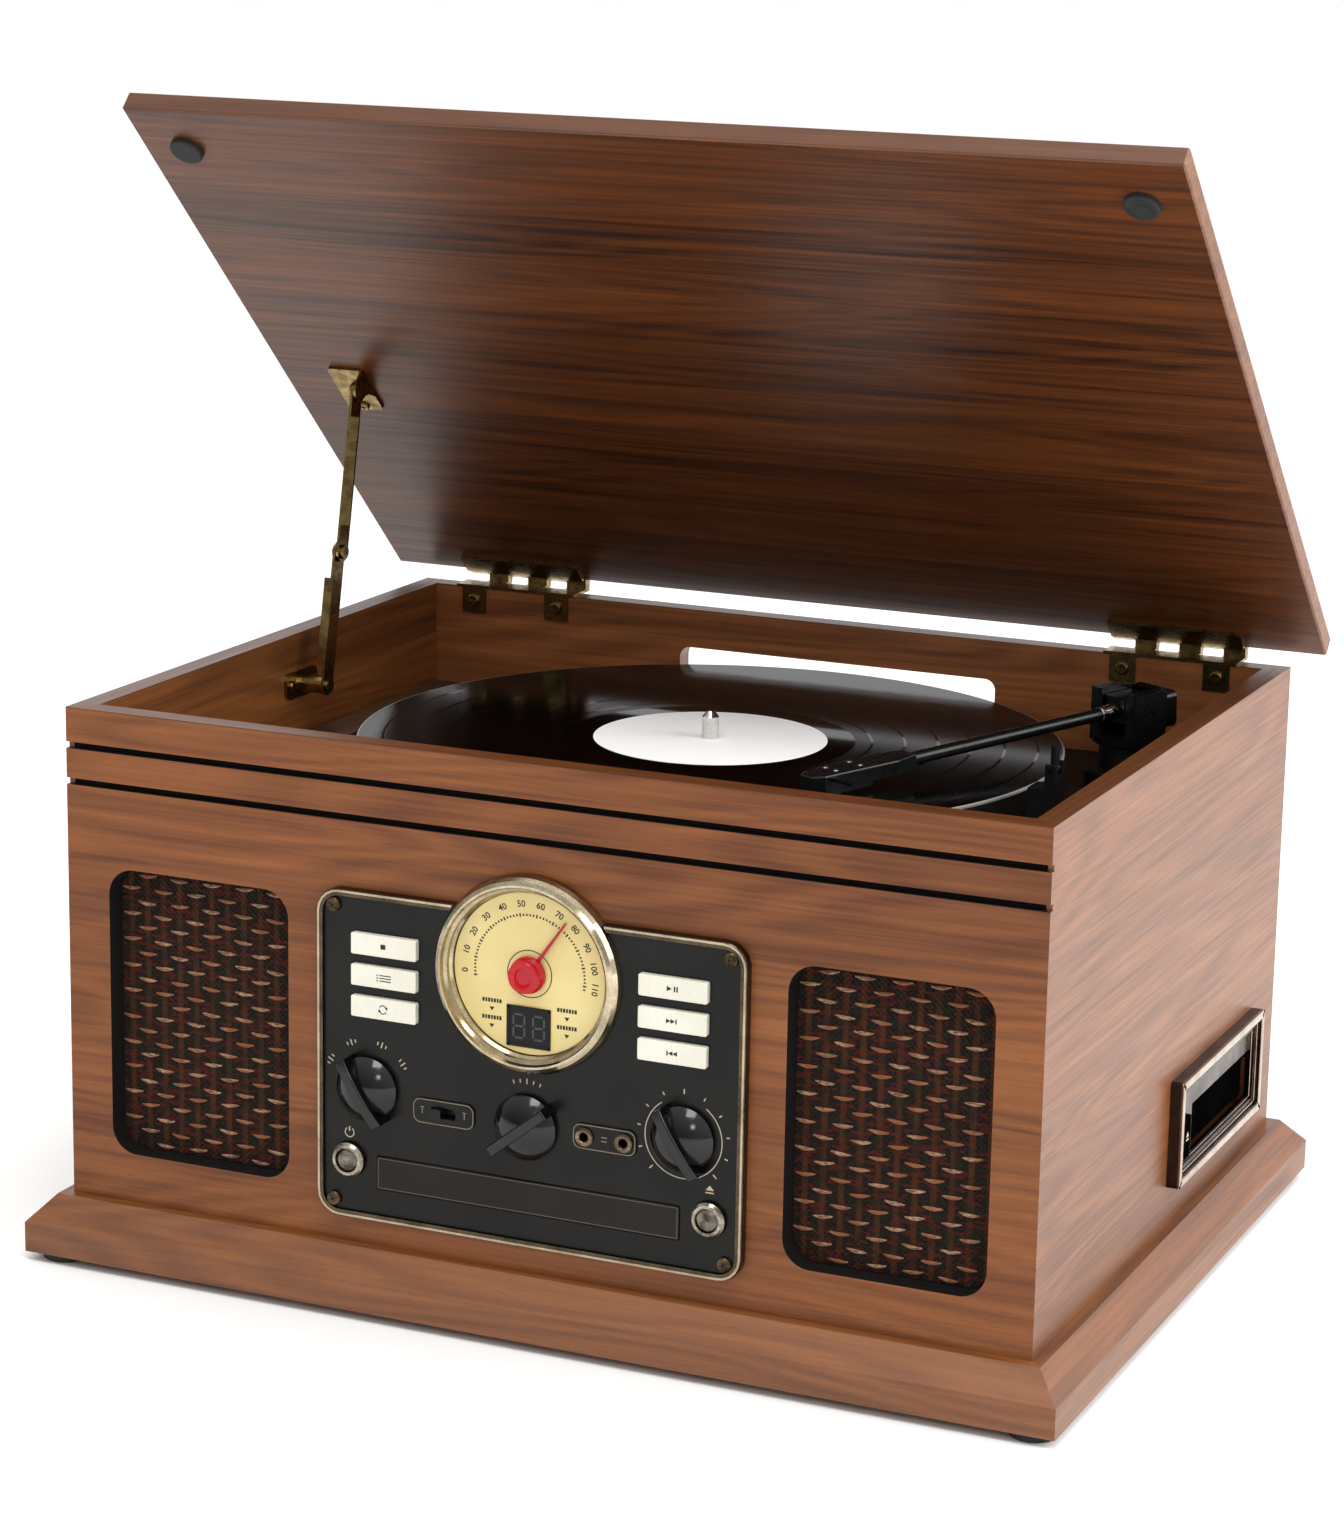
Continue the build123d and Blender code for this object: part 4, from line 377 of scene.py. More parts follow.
# Painted light: the inner faces of the rear and left walls are lighter than their outsides
REAR_PAINTED_LIGHT = ("#b8713f", "#6b3c1d", (0, -1, 0), -0.1575)
LEFT_PAINTED_LIGHT = ("#a2622f", "#5e3417", (1, 0, 0), -0.2095)
walnut = walnut_foil("walnut_foil_case", "#88532b", "#512c15", mitred=True, bands=0.18, waves=0.3)
walnut_rear_lightened = walnut_foil("walnut_foil_rear_painted_light", "#88532b", "#502b14", painted_inside=REAR_PAINTED_LIGHT)
walnut_left_lightened = walnut_foil("walnut_foil_left_painted_light", "#88532b", "#502b14", mitred=True, painted_inside=LEFT_PAINTED_LIGHT)
# The front's grooves and cut edges get painted shade in near black
walnut_front_shaded = walnut_foil(
    "walnut_foil_front_painted_shade", "#8f552b", "#502911", edge="#070201", shine=0.28, bands=0.26
)
walnut_lid_shaded = walnut_foil(
    "walnut_foil_lid_painted_shade", "#88532b", "#522c15", painted_inside=LID_PAINTED_SHADE, bands=0.4, waves=0.2,
    shaded_end=(LID_OUTWARDS, LID_END),
)
board = raw_board("fibreboard")

# Plastics: grained and soft-lit on the panel and deck, smooth and sharp-lit on knobs, arm and display
panel_black = moulded_plastic("abs_panel_black", "#0a0a09", "#131210", 0.33, 1.1, 0.04, shine=0.2)
flap_black = moulded_plastic("abs_flap_black", "#030303", "#070606", 0.3, 2.0, 0.01, shine=0.0)
tray_black = moulded_plastic("abs_tray_black", "#100a08", "#19110d", 0.36, 1.1, 0.04, shine=0.22)
deck_black = moulded_plastic("abs_deck_black", "#0b0a0a", "#121010", 0.5, 1.4, 0.1, shine=0.2)
knob_black = moulded_plastic("phenolic_knob_black", "#020303", "#050606", 0.13, 3.0, 0.004, shine=0.42)
arm_black = moulded_plastic("abs_arm_black", "#060707", "#0c0d0d", 0.28, 3.0, 0.004, shine=0.24)
button_ivory = moulded_plastic("urea_button_ivory", "#dcd8c8", "#e6e3d4", 0.3, 2.0, 0.01)
pointer_red = moulded_plastic("abs_pointer_red", "#a00413", "#b80618", 0.2, 3.0, 0.004, coat=0.1, shine=0.3)
dial_paper = moulded_plastic("enamel_dial_cream", "#d9c382", "#e3d193", 0.42, 2.0, 0.01, shine=0.3)

# Metals: plated ones are smooth and mirror the room, aged ones are mottled brown and bright
champagne = plated_metal("plated_champagne", "#cfc2a8", "#857659", 0.12)
# Painted shade: the tape surround is a dark copy of its champagne metal, so its steps read as shadow
tape_bezel_shaded = plated_metal("tape_bezel_painted_shade", "#4f4036", "#1f1712", 0.24)
trim_brass = plated_metal("plated_trim_brass", "#655848", "#2f271e", 0.22)
# Painted highlight: a lighter copy of the trim's metal for its outer edge
trim_edge_lit = plated_metal("trim_edge_painted_highlight", "#c3b59c", "#7f715d", 0.14)
chrome = plated_metal("chrome_plate", "#e8e7e3", "#b4b2ad", 0.07, scuff=0.03)
aluminium = plated_metal("turned_aluminium", "#b9babb", "#8f9092", 0.28)
steel = plated_metal("zinc_plated_steel", "#9fa2a4", "#6f7274", 0.34)
brass = aged_metal("antiqued_brass", "#ad9460", "#554226")
screw_brass = aged_metal("bronzed_screws", "#6e5a40", "#1d1610")
# Painted highlight: a lighter copy of the tape surround's metal for its face and beads
tape_bead_lit = plated_metal("tape_bead_painted_highlight", "#d3bfae", "#8d7868", 0.12)
crown_metal = aged_metal("knurled_nickel", "#8f897d", "#14120f")
ring_metal = aged_metal("worn_nickel_ring", "#c2b9a8", "#3b352d")
jack_metal = aged_metal("plated_jack_bronze", "#8d7b63", "#2f261d")

# Record, cloth and rubber, the green boards inside, and flat matt print
vinyl = pressed_vinyl("pressed_vinyl")
cloth = speaker_cloth("grille_cloth", "#070303", "#1d120b", "#43250f")
float_yarn = twisted_yarn("grille_float_yarn", "#4c3122", "#b08c6e", "#7c4a2c")
rubber = black_rubber("moulded_rubber")
board_green = moulded_plastic("circuit_board_green", "#1d4a2a", "#25593a", 0.4)
ink_black = printed_ink("screen_ink_black", "#120d08")
ink_cream = printed_ink("screen_ink_cream", "#b8ab8e")
ink_bronze = printed_ink("screen_ink_bronze", "#81725a")
ink_faint = printed_ink("screen_ink_faint", "#5b4c40")
ink_dim = printed_ink("unlit_segments", "#34373a", 0.3)
glass_black = moulded_plastic("acrylic_display_black", "#040506", "#07080a", 0.1, 3.0, 0.005, shine=0.2)

# Which CAD pieces have each finish
finishes = {
    walnut: ["right_panel", "base_mouldings"],
    walnut_left_lightened: ["left_panel"],
    walnut_rear_lightened: ["rear_panel"],
    walnut_front_shaded: ["front_panel"],
    walnut_lid_shaded: ["lid"],
    board: ["cabinet_boards"],
    rubber: ["feet", "mat", "drive_belt", "lid_bumpers"],
    deck_black: ["chassis_plate", "tonearm_base", "rest_clip", "tape_drive", "rear_sockets"],
    arm_black: ["tonearm_turret", "tonearm", "headshell", "cue_lever", "speed_switch", "band_switch"],
    panel_black: ["control_panel", "panel_plates"],
    flap_black: ["tape_flap", "tape_button"],
    tray_black: ["cd_tray"],
    knob_black: ["function_knob", "tuning_knob", "volume_knob"],
    button_ivory: [
        "stop_button", "program_button", "repeat_button", "play_button", "next_button", "previous_button",
    ],
    pointer_red: ["dial_pointer"],
    dial_paper: ["dial_face"],
    champagne: ["dial_bezel"],
    tape_bezel_shaded: ["tape_bezel"],
    trim_brass: ["panel_trim"],
    chrome: ["spindle"],
    ring_metal: ["power_button", "open_button"],
    aluminium: ["platter", "motor_pulley"],
    steel: ["motor", "cd_drive", "speaker_drivers"],
    brass: [
        "hinge_cabinet_leaves", "hinge_lid_leaves", "stay_lower_arm", "stay_upper_arm",
        "stay_wall_bracket", "stay_lid_bracket", "cabinet_screws",
    ],
    vinyl: ["record"],
    cloth: ["speaker_grilles"],
    board_green: ["circuit_boards"],
}
for finish, names in finishes.items():
    for name in names:
        for spot in nodes[name].material_slots:
            spot.material = finish


# Shape tools

# Printed marks and figures stand this far off their surface
PRINT_THICK = 0.06


def moved(bm, place):
    """The shape set at a place."""
    bmesh.ops.transform(bm, matrix=place, verts=bm.verts)
    return bm


def join(target, part, place=Matrix()):
    """Adds a shape to another at a place."""
    moved(part, place)
    loose = bpy.data.meshes.new("loose")
    part.to_mesh(loose)
    part.free()
    target.from_mesh(loose)
    bpy.data.meshes.remove(loose)


def finished(bm, name, body, material, smooth=35):
    """Makes a shape a piece in metres that rides on its body."""
    bmesh.ops.remove_doubles(bm, verts=bm.verts, dist=0.0005)
    bmesh.ops.recalc_face_normals(bm, faces=bm.faces)
    moved(bm, Matrix.Scale(MM, 4))
    mesh = bpy.data.meshes.new(name)
    bm.to_mesh(mesh)
    bm.free()
    for face in mesh.polygons:
        face.use_smooth = True
    mesh.set_sharp_from_angle(angle=math.radians(smooth))
    mesh.materials.append(material)
    piece = bpy.data.objects.new(name, mesh)
    scene.collection.objects.link(piece)
    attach(piece, body)
    return piece


def turned(profile, steps=48):
    """A profile of (radius, height) turned about Z."""
    bm = bmesh.new()
    points = [bm.verts.new((r, 0, h)) for r, h in profile]
    edges = [bm.edges.new(pair) for pair in zip(points, points[1:])]
    bmesh.ops.spin(
        bm, geom=points + edges, cent=(0, 0, 0), axis=(0, 0, 1), angle=2 * math.pi, steps=steps,
        use_merge=True,
    )
    bmesh.ops.remove_doubles(bm, verts=bm.verts, dist=0.0005)
    return bm


def raised(bm, thick):
    """Gives a flat shape its thickness."""
    made = bmesh.ops.extrude_face_region(bm, geom=bm.faces[:])
    top = [v for v in made["geom"] if isinstance(v, bmesh.types.BMVert)]
    bmesh.ops.translate(bm, vec=(0, 0, thick), verts=top)
    return bm


def plate(width, height, corner=0.0, thick=PRINT_THICK, steps=5):
    """A flat plate with round corners, on its middle."""
    bm = bmesh.new()
    bmesh.ops.create_grid(bm, x_segments=1, y_segments=1, size=0.5)
    bmesh.ops.scale(bm, vec=(width, height, 1), verts=bm.verts)
    if corner:
        bmesh.ops.bevel(
            bm, geom=bm.verts[:], offset=corner, segments=steps, profile=0.5, affect="VERTICES", material=-1
        )
    return raised(bm, thick) if thick else bm


def outline(width, height, corner, line, thick=PRINT_THICK):
    """A thin line round a plate's edge."""
    bm = plate(width, height, corner, 0)
    middle = bm.faces[:]
    bmesh.ops.inset_region(bm, faces=middle, thickness=line, use_boundary=True, use_even_offset=True)
    bmesh.ops.delete(bm, geom=middle, context="FACES")
    return raised(bm, thick)


def softened(bm, offset):
    """Rounds every edge of a shape."""
    bmesh.ops.bevel(
        bm, geom=bm.edges[:], offset=offset, segments=2, profile=0.5, affect="EDGES", material=-1
    )


def arc_line(radius, line, start, end, thick=PRINT_THICK):
    """A thin line along an arc, from start to end in degrees from the right, anticlockwise."""
    bm = bmesh.new()
    points = [bm.verts.new((r, 0, 0)) for r in (radius - line / 2, radius + line / 2)]
    edge = bm.edges.new(points)
    moved(bm, Matrix.Rotation(math.radians(start), 4, "Z"))
    turn = math.radians(end - start)
    steps = max(4, round(abs(end - start) / 5))
    bmesh.ops.spin(bm, geom=points + [edge], cent=(0, 0, 0), axis=(0, 0, 1), angle=turn, steps=steps)
    return raised(bm, thick)


def corners(points, thick=PRINT_THICK):
    """A flat shape with a few corners."""
    bm = bmesh.new()
    bm.faces.new([bm.verts.new((x, y, 0)) for x, y in points])
    return raised(bm, thick)


def at(x, y, turn=0.0, z=0.0):
    """A place on a flat surface, turned in degrees."""
    return Matrix.Translation((x, y, z)) @ Matrix.Rotation(math.radians(turn), 4, "Z")


def on_ring(radius, degrees, turn, middle=(0, 0)):
    """A place round a middle, turned in degrees, all from the right and anticlockwise."""
    angle = math.radians(degrees)
    return at(middle[0] + radius * math.cos(angle), middle[1] + radius * math.sin(angle), turn)


def on_front(x, z, out):
    """A place on the front, out from the wood: local x right, y up, z towards the viewer."""
    return Matrix.Translation((x, -FRONT_WOOD - out, z)) @ Matrix.Rotation(math.radians(90), 4, "X")


def on_right(y, z, out):
    """A place on the right side, out from the wood: local x to the rear, y up, z outwards."""
    turn = Matrix.Rotation(math.radians(90), 4, "Z") @ Matrix.Rotation(math.radians(90), 4, "X")
    return Matrix.Translation((SIDE_WOOD + out, y, z)) @ turn


def on_rear(x, z, out):
    """A place on the rear, out from the wood: local x right from behind, y up, z outwards."""
    turn = Matrix.Rotation(math.radians(180), 4, "Z") @ Matrix.Rotation(math.radians(90), 4, "X")
    return Matrix.Translation((x, FRONT_WOOD + out, z)) @ turn


def figures(words, size):
    """Plain figures as a flat shape, on their middle."""
    curve = bpy.data.curves.new("figures", "FONT")
    curve.body = words
    curve.size = size
    curve.align_x = "CENTER"
    curve.align_y = "CENTER"
    curve.offset = size * 0.015
    curve.extrude = PRINT_THICK / 2
    curve.resolution_u = 3
    holder = bpy.data.objects.new("figures", curve)
    mesh = bpy.data.meshes.new_from_object(holder)
    bm = bmesh.new()
    bm.from_mesh(mesh)
    bpy.data.objects.remove(holder)
    bpy.data.meshes.remove(mesh)
    bpy.data.curves.remove(curve)
    return moved(bm, Matrix.Translation((0, 0, PRINT_THICK / 2)))


# Speaker cloth: a stretched sheet over each frame, with raised floats woven through it
CLOTH_SIZE = (83.2, 121.7)
CLOTH_CORNER = 11.1
CLOTH_OUT = -9.42
FLOAT_LONG, FLOAT_WIDE, FLOAT_HIGH, FLOAT_THICK = 8.4, 1.7, 0.7, 0.12
# Floats fill the cloth out to here, and keep clear of its round corners
WEAVE_X, WEAVE_Z = 37.6, 59.4
CORNER_X, CORNER_Z = 34, 52
for side, label in ((-1, "left"), (1, "right")):
    sheet_shape = plate(*CLOTH_SIZE, CLOTH_CORNER, 0)
    bmesh.ops.triangulate(sheet_shape, faces=sheet_shape.faces[:])
    moved(sheet_shape, on_front(side * SPEAKER_X, SPEAKER_Z, CLOTH_OUT))
    sheet = finished(sheet_shape, f"grille_cloth_{label}", "cabinet", cloth)

    strand = bmesh.new()
    bmesh.ops.create_grid(strand, x_segments=8, y_segments=2, size=0.5)
    bmesh.ops.scale(strand, vec=(FLOAT_LONG, FLOAT_WIDE, 1), verts=strand.verts)
    for point in strand.verts:
        # A float is widest and highest at its middle, and sags a little there
        slope = math.cos(point.co.x / FLOAT_LONG * math.pi)
        point.co.z = FLOAT_HIGH * slope * (1 - (point.co.y / 1.05) ** 2)
        point.co.y *= 0.3 + 0.7 * slope
        point.co.y += 0.35 * (1 - slope)
    raised(strand, -FLOAT_THICK)
    strand_mesh = bpy.data.meshes.new("strand")
    strand.to_mesh(strand_mesh)
    strand.free()

    weave = bmesh.new()
    for column in range(-5, 6):
        for row in range(-11, 12):
            if (column + row) % 2:
                continue
            x, z = column * WARP_PITCH + FLOAT_SHIFT, row * ROW_PITCH + FLOAT_RISE
            if abs(x) > WEAVE_X or abs(z) > WEAVE_Z or (abs(x) > CORNER_X and abs(z) > CORNER_Z):
                continue
            strand = bmesh.new()
            strand.from_mesh(strand_mesh)
            # No float lies quite like the next: a fixed scatter from -0.5 to 0.5
            sway = math.sin(column * 12.9898 + row * 78.233) * 43758.5453
            sway = sway - math.floor(sway) - 0.5
            join(weave, strand, at(x + 0.9 * sway, z + 0.8 * sway, 9 * sway))
    bpy.data.meshes.remove(strand_mesh)
    moved(weave, on_front(side * SPEAKER_X, SPEAKER_Z, CLOTH_OUT + FLOAT_THICK))
    floats = finished(weave, f"grille_floats_{label}", "cabinet", float_yarn, 80)

# Dial: figures and a dotted ring round the top, marks beside the display, a thin ring round the hub
DIAL_Z, DISPLAY_Z = 152.5, 130.7
FIGURE_RADIUS, FIGURE_START, FIGURE_STEP = 28.3, 184, 17.2
DOT_RADIUS, DOT_START, DOT_STEP = 23.9, 188, 3.5
MARK_COLUMN, MARK_STEP = 16.4, 1.25
dial_print = bmesh.new()
for count in range(12):
    turn = FIGURE_START - FIGURE_STEP * count
    join(dial_print, figures(str(count * 10), 3.7), on_ring(FIGURE_RADIUS, turn, turn - 90))
for count in range(57):
    turn = DOT_START - DOT_STEP * count
    join(dial_print, plate(1.5 if count % 5 == 0 else 0.9, 0.65), on_ring(DOT_RADIUS, turn, turn))
for column in (-MARK_COLUMN, MARK_COLUMN):
    for drop in (12.9, 19.9):
        for count in range(-3, 4):
            join(dial_print, plate(1.0 if count % 2 else 0.8, 1.6), at(column + MARK_STEP * count, -drop))
    for drop in (16.2, 23.2):
        join(dial_print, corners([(-1.1, 0.6), (1.1, 0.6), (0, -1.0)]), at(column, -drop))
join(dial_print, arc_line(9.6, 0.4, 0, 359.99))
finished(moved(dial_print, on_front(0, DIAL_Z, 1.5)), "dial_print", "cabinet", ink_black)

# Display: two unlit figures of seven bars each behind dark acrylic, in a black surround
window = plate(17.2, 14.7, 0.6, 0.3)
join(window, outline(19.4, 16.9, 0.5, 1.3, 0.08), at(0, 0, 0, 0.4))
moved(window, on_front(0, DISPLAY_Z, 1.6))
finished(window, "display_window", "cabinet", glass_black)
segments = bmesh.new()
for digit in (-4.3, 4.3):
    for level in (-4.8, 0, 4.8):
        join(segments, plate(3.7, 0.8, 0.3, 0.05, 2), at(digit, level))
    for sideways in (-2.4, 2.4):
        for level in (-2.4, 2.4):
            join(segments, plate(0.8, 3.7, 0.3, 0.05, 2), at(digit + sideways, level))
moved(segments, on_front(0, DISPLAY_Z, 1.9))
finished(segments, "display_segments", "cabinet", ink_dim)

# Hub: a turned cap with a raised ring round a sunk nose, on the pointer
cap_ring = [(6.2, 0.0), (6.6, 0.2), (6.5, 0.9), (5.9, 1.4), (4.6, 1.5), (3.6, 1.1)]
cap_nose = [(3.2, 0.4), (2.6, 0.3), (0, 0.3)]
cap = moved(turned(cap_ring + cap_nose), on_front(0, DIAL_Z, 6.9))
finished(cap, "pointer_cap", "dial_pointer", pointer_red)


def play_mark(size):
    """An arrow to the right."""
    return corners([(-size / 2, size / 2), (-size / 2, -size / 2), (size / 2, 0)])


def bar_mark(size):
    """An upright bar."""
    return plate(size * 0.3, size)


def skip_mark(way):
    """Two arrows and a bar, to the right with 1 and to the left with -1."""
    mark = bmesh.new()
    for step in (-1.5, 0.4):
        join(mark, play_mark(1.9), at(way * step, 0, 90 - 90 * way))
    join(mark, bar_mark(1.9), at(way * 1.8, 0))
    return mark


# Push-button marks: plain transport signs on the six keys, in two columns of three
KEY_X, KEY_ROWS = 63, (156, 143, 130)
KEY_FACE = 5.4
stop_mark = bmesh.new()
join(stop_mark, plate(2.2, 2.0))
list_mark = bmesh.new()
for row in (-1, 0, 1):
    join(list_mark, plate(5.2, 0.4), at(1.0, row * 1.15))
    join(list_mark, plate(0.6, 0.5), at(-2.6, row * 1.15))
repeat_mark = bmesh.new()
for half in (0, 180):
    join(repeat_mark, arc_line(1.7, 0.4, 15, 150), at(0, 0, half))
    join(repeat_mark, play_mark(1.3), on_ring(1.7, half + 15, half - 75))
play_pause_mark = bmesh.new()
join(play_pause_mark, play_mark(2.1), at(-1.3, 0))
for step in (0.9, 2.0):
    join(play_pause_mark, bar_mark(2.1), at(step, 0))
next_mark = skip_mark(1)
back_mark = skip_mark(-1)
left_keys = (("stop", stop_mark), ("program", list_mark), ("repeat", repeat_mark))
right_keys = (("play", play_pause_mark), ("next", next_mark), ("previous", back_mark))
for side, keys in ((-1, left_keys), (1, right_keys)):
    for (key, mark), z in zip(keys, KEY_ROWS):
        moved(mark, on_front(side * KEY_X, z, KEY_FACE))
        finished(mark, f"{key}_mark", f"{key}_button", ink_black)

# Panel print: scale marks round the knobs, lines round the plates and the tray front
FUNCTION_KNOB, TUNING_KNOB, VOLUME_KNOB = (-70.8, 95.5), (0, 90), (67.8, 95.5)
ROUND_KEY, SIGN_Z = (79.4, 64.3), 75.6
FUNCTION_STOPS = (150, 113, 72, 38)
PANEL_FACE, PLATE_FACE = 3.0, 3.8
PLATES_X, PLATES_Z = (-36.6, 34.2), 90
BAND_MARKS_X = (-46.0, -27.2)
TRAY_Z = 60.5
panel_print = bmesh.new()


def dash(middle, radius, degrees, long):
    """A short line printed outwards from a knob's middle."""
    join(panel_print, plate(long, 0.5), on_ring(radius, degrees, degrees, middle))


for turn in FUNCTION_STOPS:
    for count, long in ((-1, 1.4), (0, 2.6), (1, 1.4)):
        dash(FUNCTION_KNOB, 19.8, turn + 5.5 * count, long)
for count in range(11):
    dash(VOLUME_KNOB, 19.2, 225 - 27 * count, 2.0 if count % 5 == 0 else 1.4)
join(panel_print, arc_line(16.4, 0.4, 125, 415), at(*VOLUME_KNOB))
for count in (-2, -1, 0, 1, 2):
    dash(TUNING_KNOB, 18.8, 90 + 9 * count, 2.2 if count == 0 else 1.5)
join(panel_print, arc_line(2.0, 0.45, 125, 415), at(-ROUND_KEY[0], SIGN_Z))
join(panel_print, bar_mark(2.0), at(-ROUND_KEY[0], SIGN_Z + 1.5))
join(panel_print, corners([(-1.8, -0.6), (1.8, -0.6), (0, 1.4)]), at(ROUND_KEY[0], SIGN_Z + 1.0))
join(panel_print, plate(3.6, 0.5), at(ROUND_KEY[0], SIGN_Z - 0.6))
finished(moved(panel_print, on_front(0, 0, PANEL_FACE)), "panel_print", "cabinet", ink_cream)

# Plate print: an outline on each plate, marks beside the band switch and between the jacks
plate_print = bmesh.new()
for x in PLATES_X:
    join(plate_print, outline(26.9, 10.1, 3.2, 0.35), at(x, PLATES_Z))
for x in BAND_MARKS_X:
    join(plate_print, plate(0.4, 2.4), at(x, PLATES_Z))
    join(plate_print, plate(1.6, 0.4), at(x, PLATES_Z + 1.6))
for rise in (0.8, -0.8):
    join(plate_print, plate(2.4, 0.4), at(PLATES_X[1], PLATES_Z + rise))
moved(plate_print, on_front(0, 0, PLATE_FACE))
finished(plate_print, "plate_print", "cabinet", ink_bronze)
tray_print = outline(132.2, 12.8, 0.4, 0.3)
finished(moved(tray_print, on_front(0, TRAY_Z, 3.6)), "tray_outline", "cd_tray", ink_faint)

# Trim: a painted highlight, a hairline in a lighter copy of the trim's metal along its outer edge, open
# where the dial's bezel stands
PANEL_Z = 108.5
BEZEL_GAP = 33.2
hairline = outline(186.6, 136.7, 9.6, 0.9, 0.25)
for cut in (-BEZEL_GAP, BEZEL_GAP):
    whole = hairline.verts[:] + hairline.edges[:] + hairline.faces[:]
    bmesh.ops.bisect_plane(hairline, geom=whole, plane_co=(cut, 0, 0), plane_no=(1, 0, 0))
middles = [(face, face.calc_center_median()) for face in hairline.faces]
spare = [face for face, middle in middles if abs(middle.x) < BEZEL_GAP - 0.2 and middle.y > 0]
bmesh.ops.delete(hairline, geom=spare, context="FACES")
bmesh.ops.holes_fill(hairline, edges=hairline.edges[:], sides=8)
finished(moved(hairline, on_front(0, PANEL_Z, 4.2)), "trim_hairline", "cabinet", trim_edge_lit)

# Panel fixings: domed cross-head screws in the four corners, with black crosses on them as painted shade
# for the recesses
FIXING_X, FIXING_RISE = 86.3, 61.85
heads = bmesh.new()
recess_shades = bmesh.new()
for x in (-FIXING_X, FIXING_X):
    for z in (PANEL_Z - FIXING_RISE, PANEL_Z + FIXING_RISE):
        head = turned([(2.85, 0), (3.1, 0.1), (3.1, 0.5), (2.6, 0.95), (1.5, 1.05), (0, 1.1)], 24)
        join(heads, head, at(x, z, 0, 0.75))
        for turn in (25, 115):
            join(recess_shades, plate(3.0, 0.7, 0.2, 0.14, 2), at(x, z, turn, 1.75))
finished(moved(heads, on_front(0, 0, PANEL_FACE)), "panel_screw_heads", "cabinet", screw_brass)
finished(moved(recess_shades, on_front(0, 0, PANEL_FACE)), "panel_screw_slot_shades", "cabinet", ink_black)

# Jacks: rolled metal lips round the two bores
JACKS_X = (25.7, 42.7)
lip_profile = [(1.9, -0.4), (1.9, 0.9), (2.3, 1.25), (3.3, 1.25), (3.9, 0.85), (3.9, -0.4), (1.9, -0.4)]
lips = bmesh.new()
for x in JACKS_X:
    join(lips, turned(lip_profile, 32), at(x, PLATES_Z))
finished(moved(lips, on_front(0, 0, PLATE_FACE)), "jack_lips", "cabinet", jack_metal)

# Round keys: a dark pebbled crown sunk in each bright rim
crown_profile = [(4.95, -0.3), (4.95, 0.25), (4.2, 0.7), (3.0, 0.45), (2.0, 0.85), (0.9, 0.75), (0, 0.95)]
for key, x in (("power", -ROUND_KEY[0]), ("open", ROUND_KEY[0])):
    crown = moved(turned(crown_profile), on_front(x, ROUND_KEY[1], 4.5))
    finished(crown, f"{key}_crown", f"{key}_button", crown_metal)

# Tape slot: a face and rolled beads on the surround in a lighter copy of its metal as painted highlight, a
# bright edge on the flap, a sign on its key
TAPE_Y, TAPE_Z = 67.2, 67.5
TAPE_LONG, TAPE_HIGH = 120.5, 46.2
EJECT_Y = 19.45
beads = bmesh.new()
for inset, line, level in ((0.3, 3.2, 5.05), (4.3, 1.0, 3.5), (7.2, 0.7, 1.9)):
    bead = outline(TAPE_LONG - 2 * inset, TAPE_HIGH - 2 * inset, 1.2, line, 0.7)
    softened(bead, 0.2)
    join(beads, bead, at(TAPE_Y, TAPE_Z, 0, level))
finished(moved(beads, on_right(0, 0, 0)), "tape_beads", "cabinet", tape_bead_lit)
lip = bmesh.new()
join(lip, plate(85.0, 1.0, 0.2, 0.5, 2), at(76.5, 54.9))
softened(lip, 0.12)
finished(moved(lip, on_right(0, 0, -3.0)), "flap_lip", "tape_flap", chrome)
eject = bmesh.new()
join(eject, corners([(-1.8, -0.4), (1.8, -0.4), (0, 1.9)]), at(EJECT_Y, 64.2))
join(eject, plate(3.6, 0.8), at(EJECT_Y, 62.6))
finished(moved(eject, on_right(0, 0, 4.5)), "eject_sign", "tape_button", ink_cream)

# Tonearm: a plated collar at the tube's root, screws on the headshell
PIVOT = Vector((160.6, 92.5, 226.5))
ARM_TURN, ARM_SLOPE = math.radians(-116.8), math.radians(2.4)
level_run = math.cos(ARM_SLOPE)
arm_run = Vector((math.cos(ARM_TURN) * level_run, math.sin(ARM_TURN) * level_run, -math.sin(ARM_SLOPE)))
along_arm = Matrix.Translation(PIVOT) @ arm_run.to_track_quat("Z", "Y").to_matrix().to_4x4()
collar_profile = [(2.7, 8.6), (3.3, 8.9), (3.5, 9.6), (3.5, 12.6), (3.25, 13.2), (3.25, 17.5), (2.7, 18.0)]
collar = moved(turned(collar_profile, 40), along_arm)
finished(collar, "arm_collar", "tonearm", chrome)
shell_turn = Matrix.Rotation(ARM_TURN, 4, "Z") @ Matrix.Rotation(ARM_SLOPE, 4, "Y")
shell_frame = Matrix.Translation(PIVOT) @ shell_turn
shell_screws = bmesh.new()
for reach, across in ((157, 3.4), (157, -3.4), (170, 3.2), (170, -3.2)):
    head = turned([(1.2, -0.2), (1.3, 0.2), (1.0, 0.5), (0, 0.6)], 20)
    join(shell_screws, head, Matrix.Translation((reach, across, 3.5)))
finished(moved(shell_screws, shell_frame), "headshell_screws", "tonearm", steel)

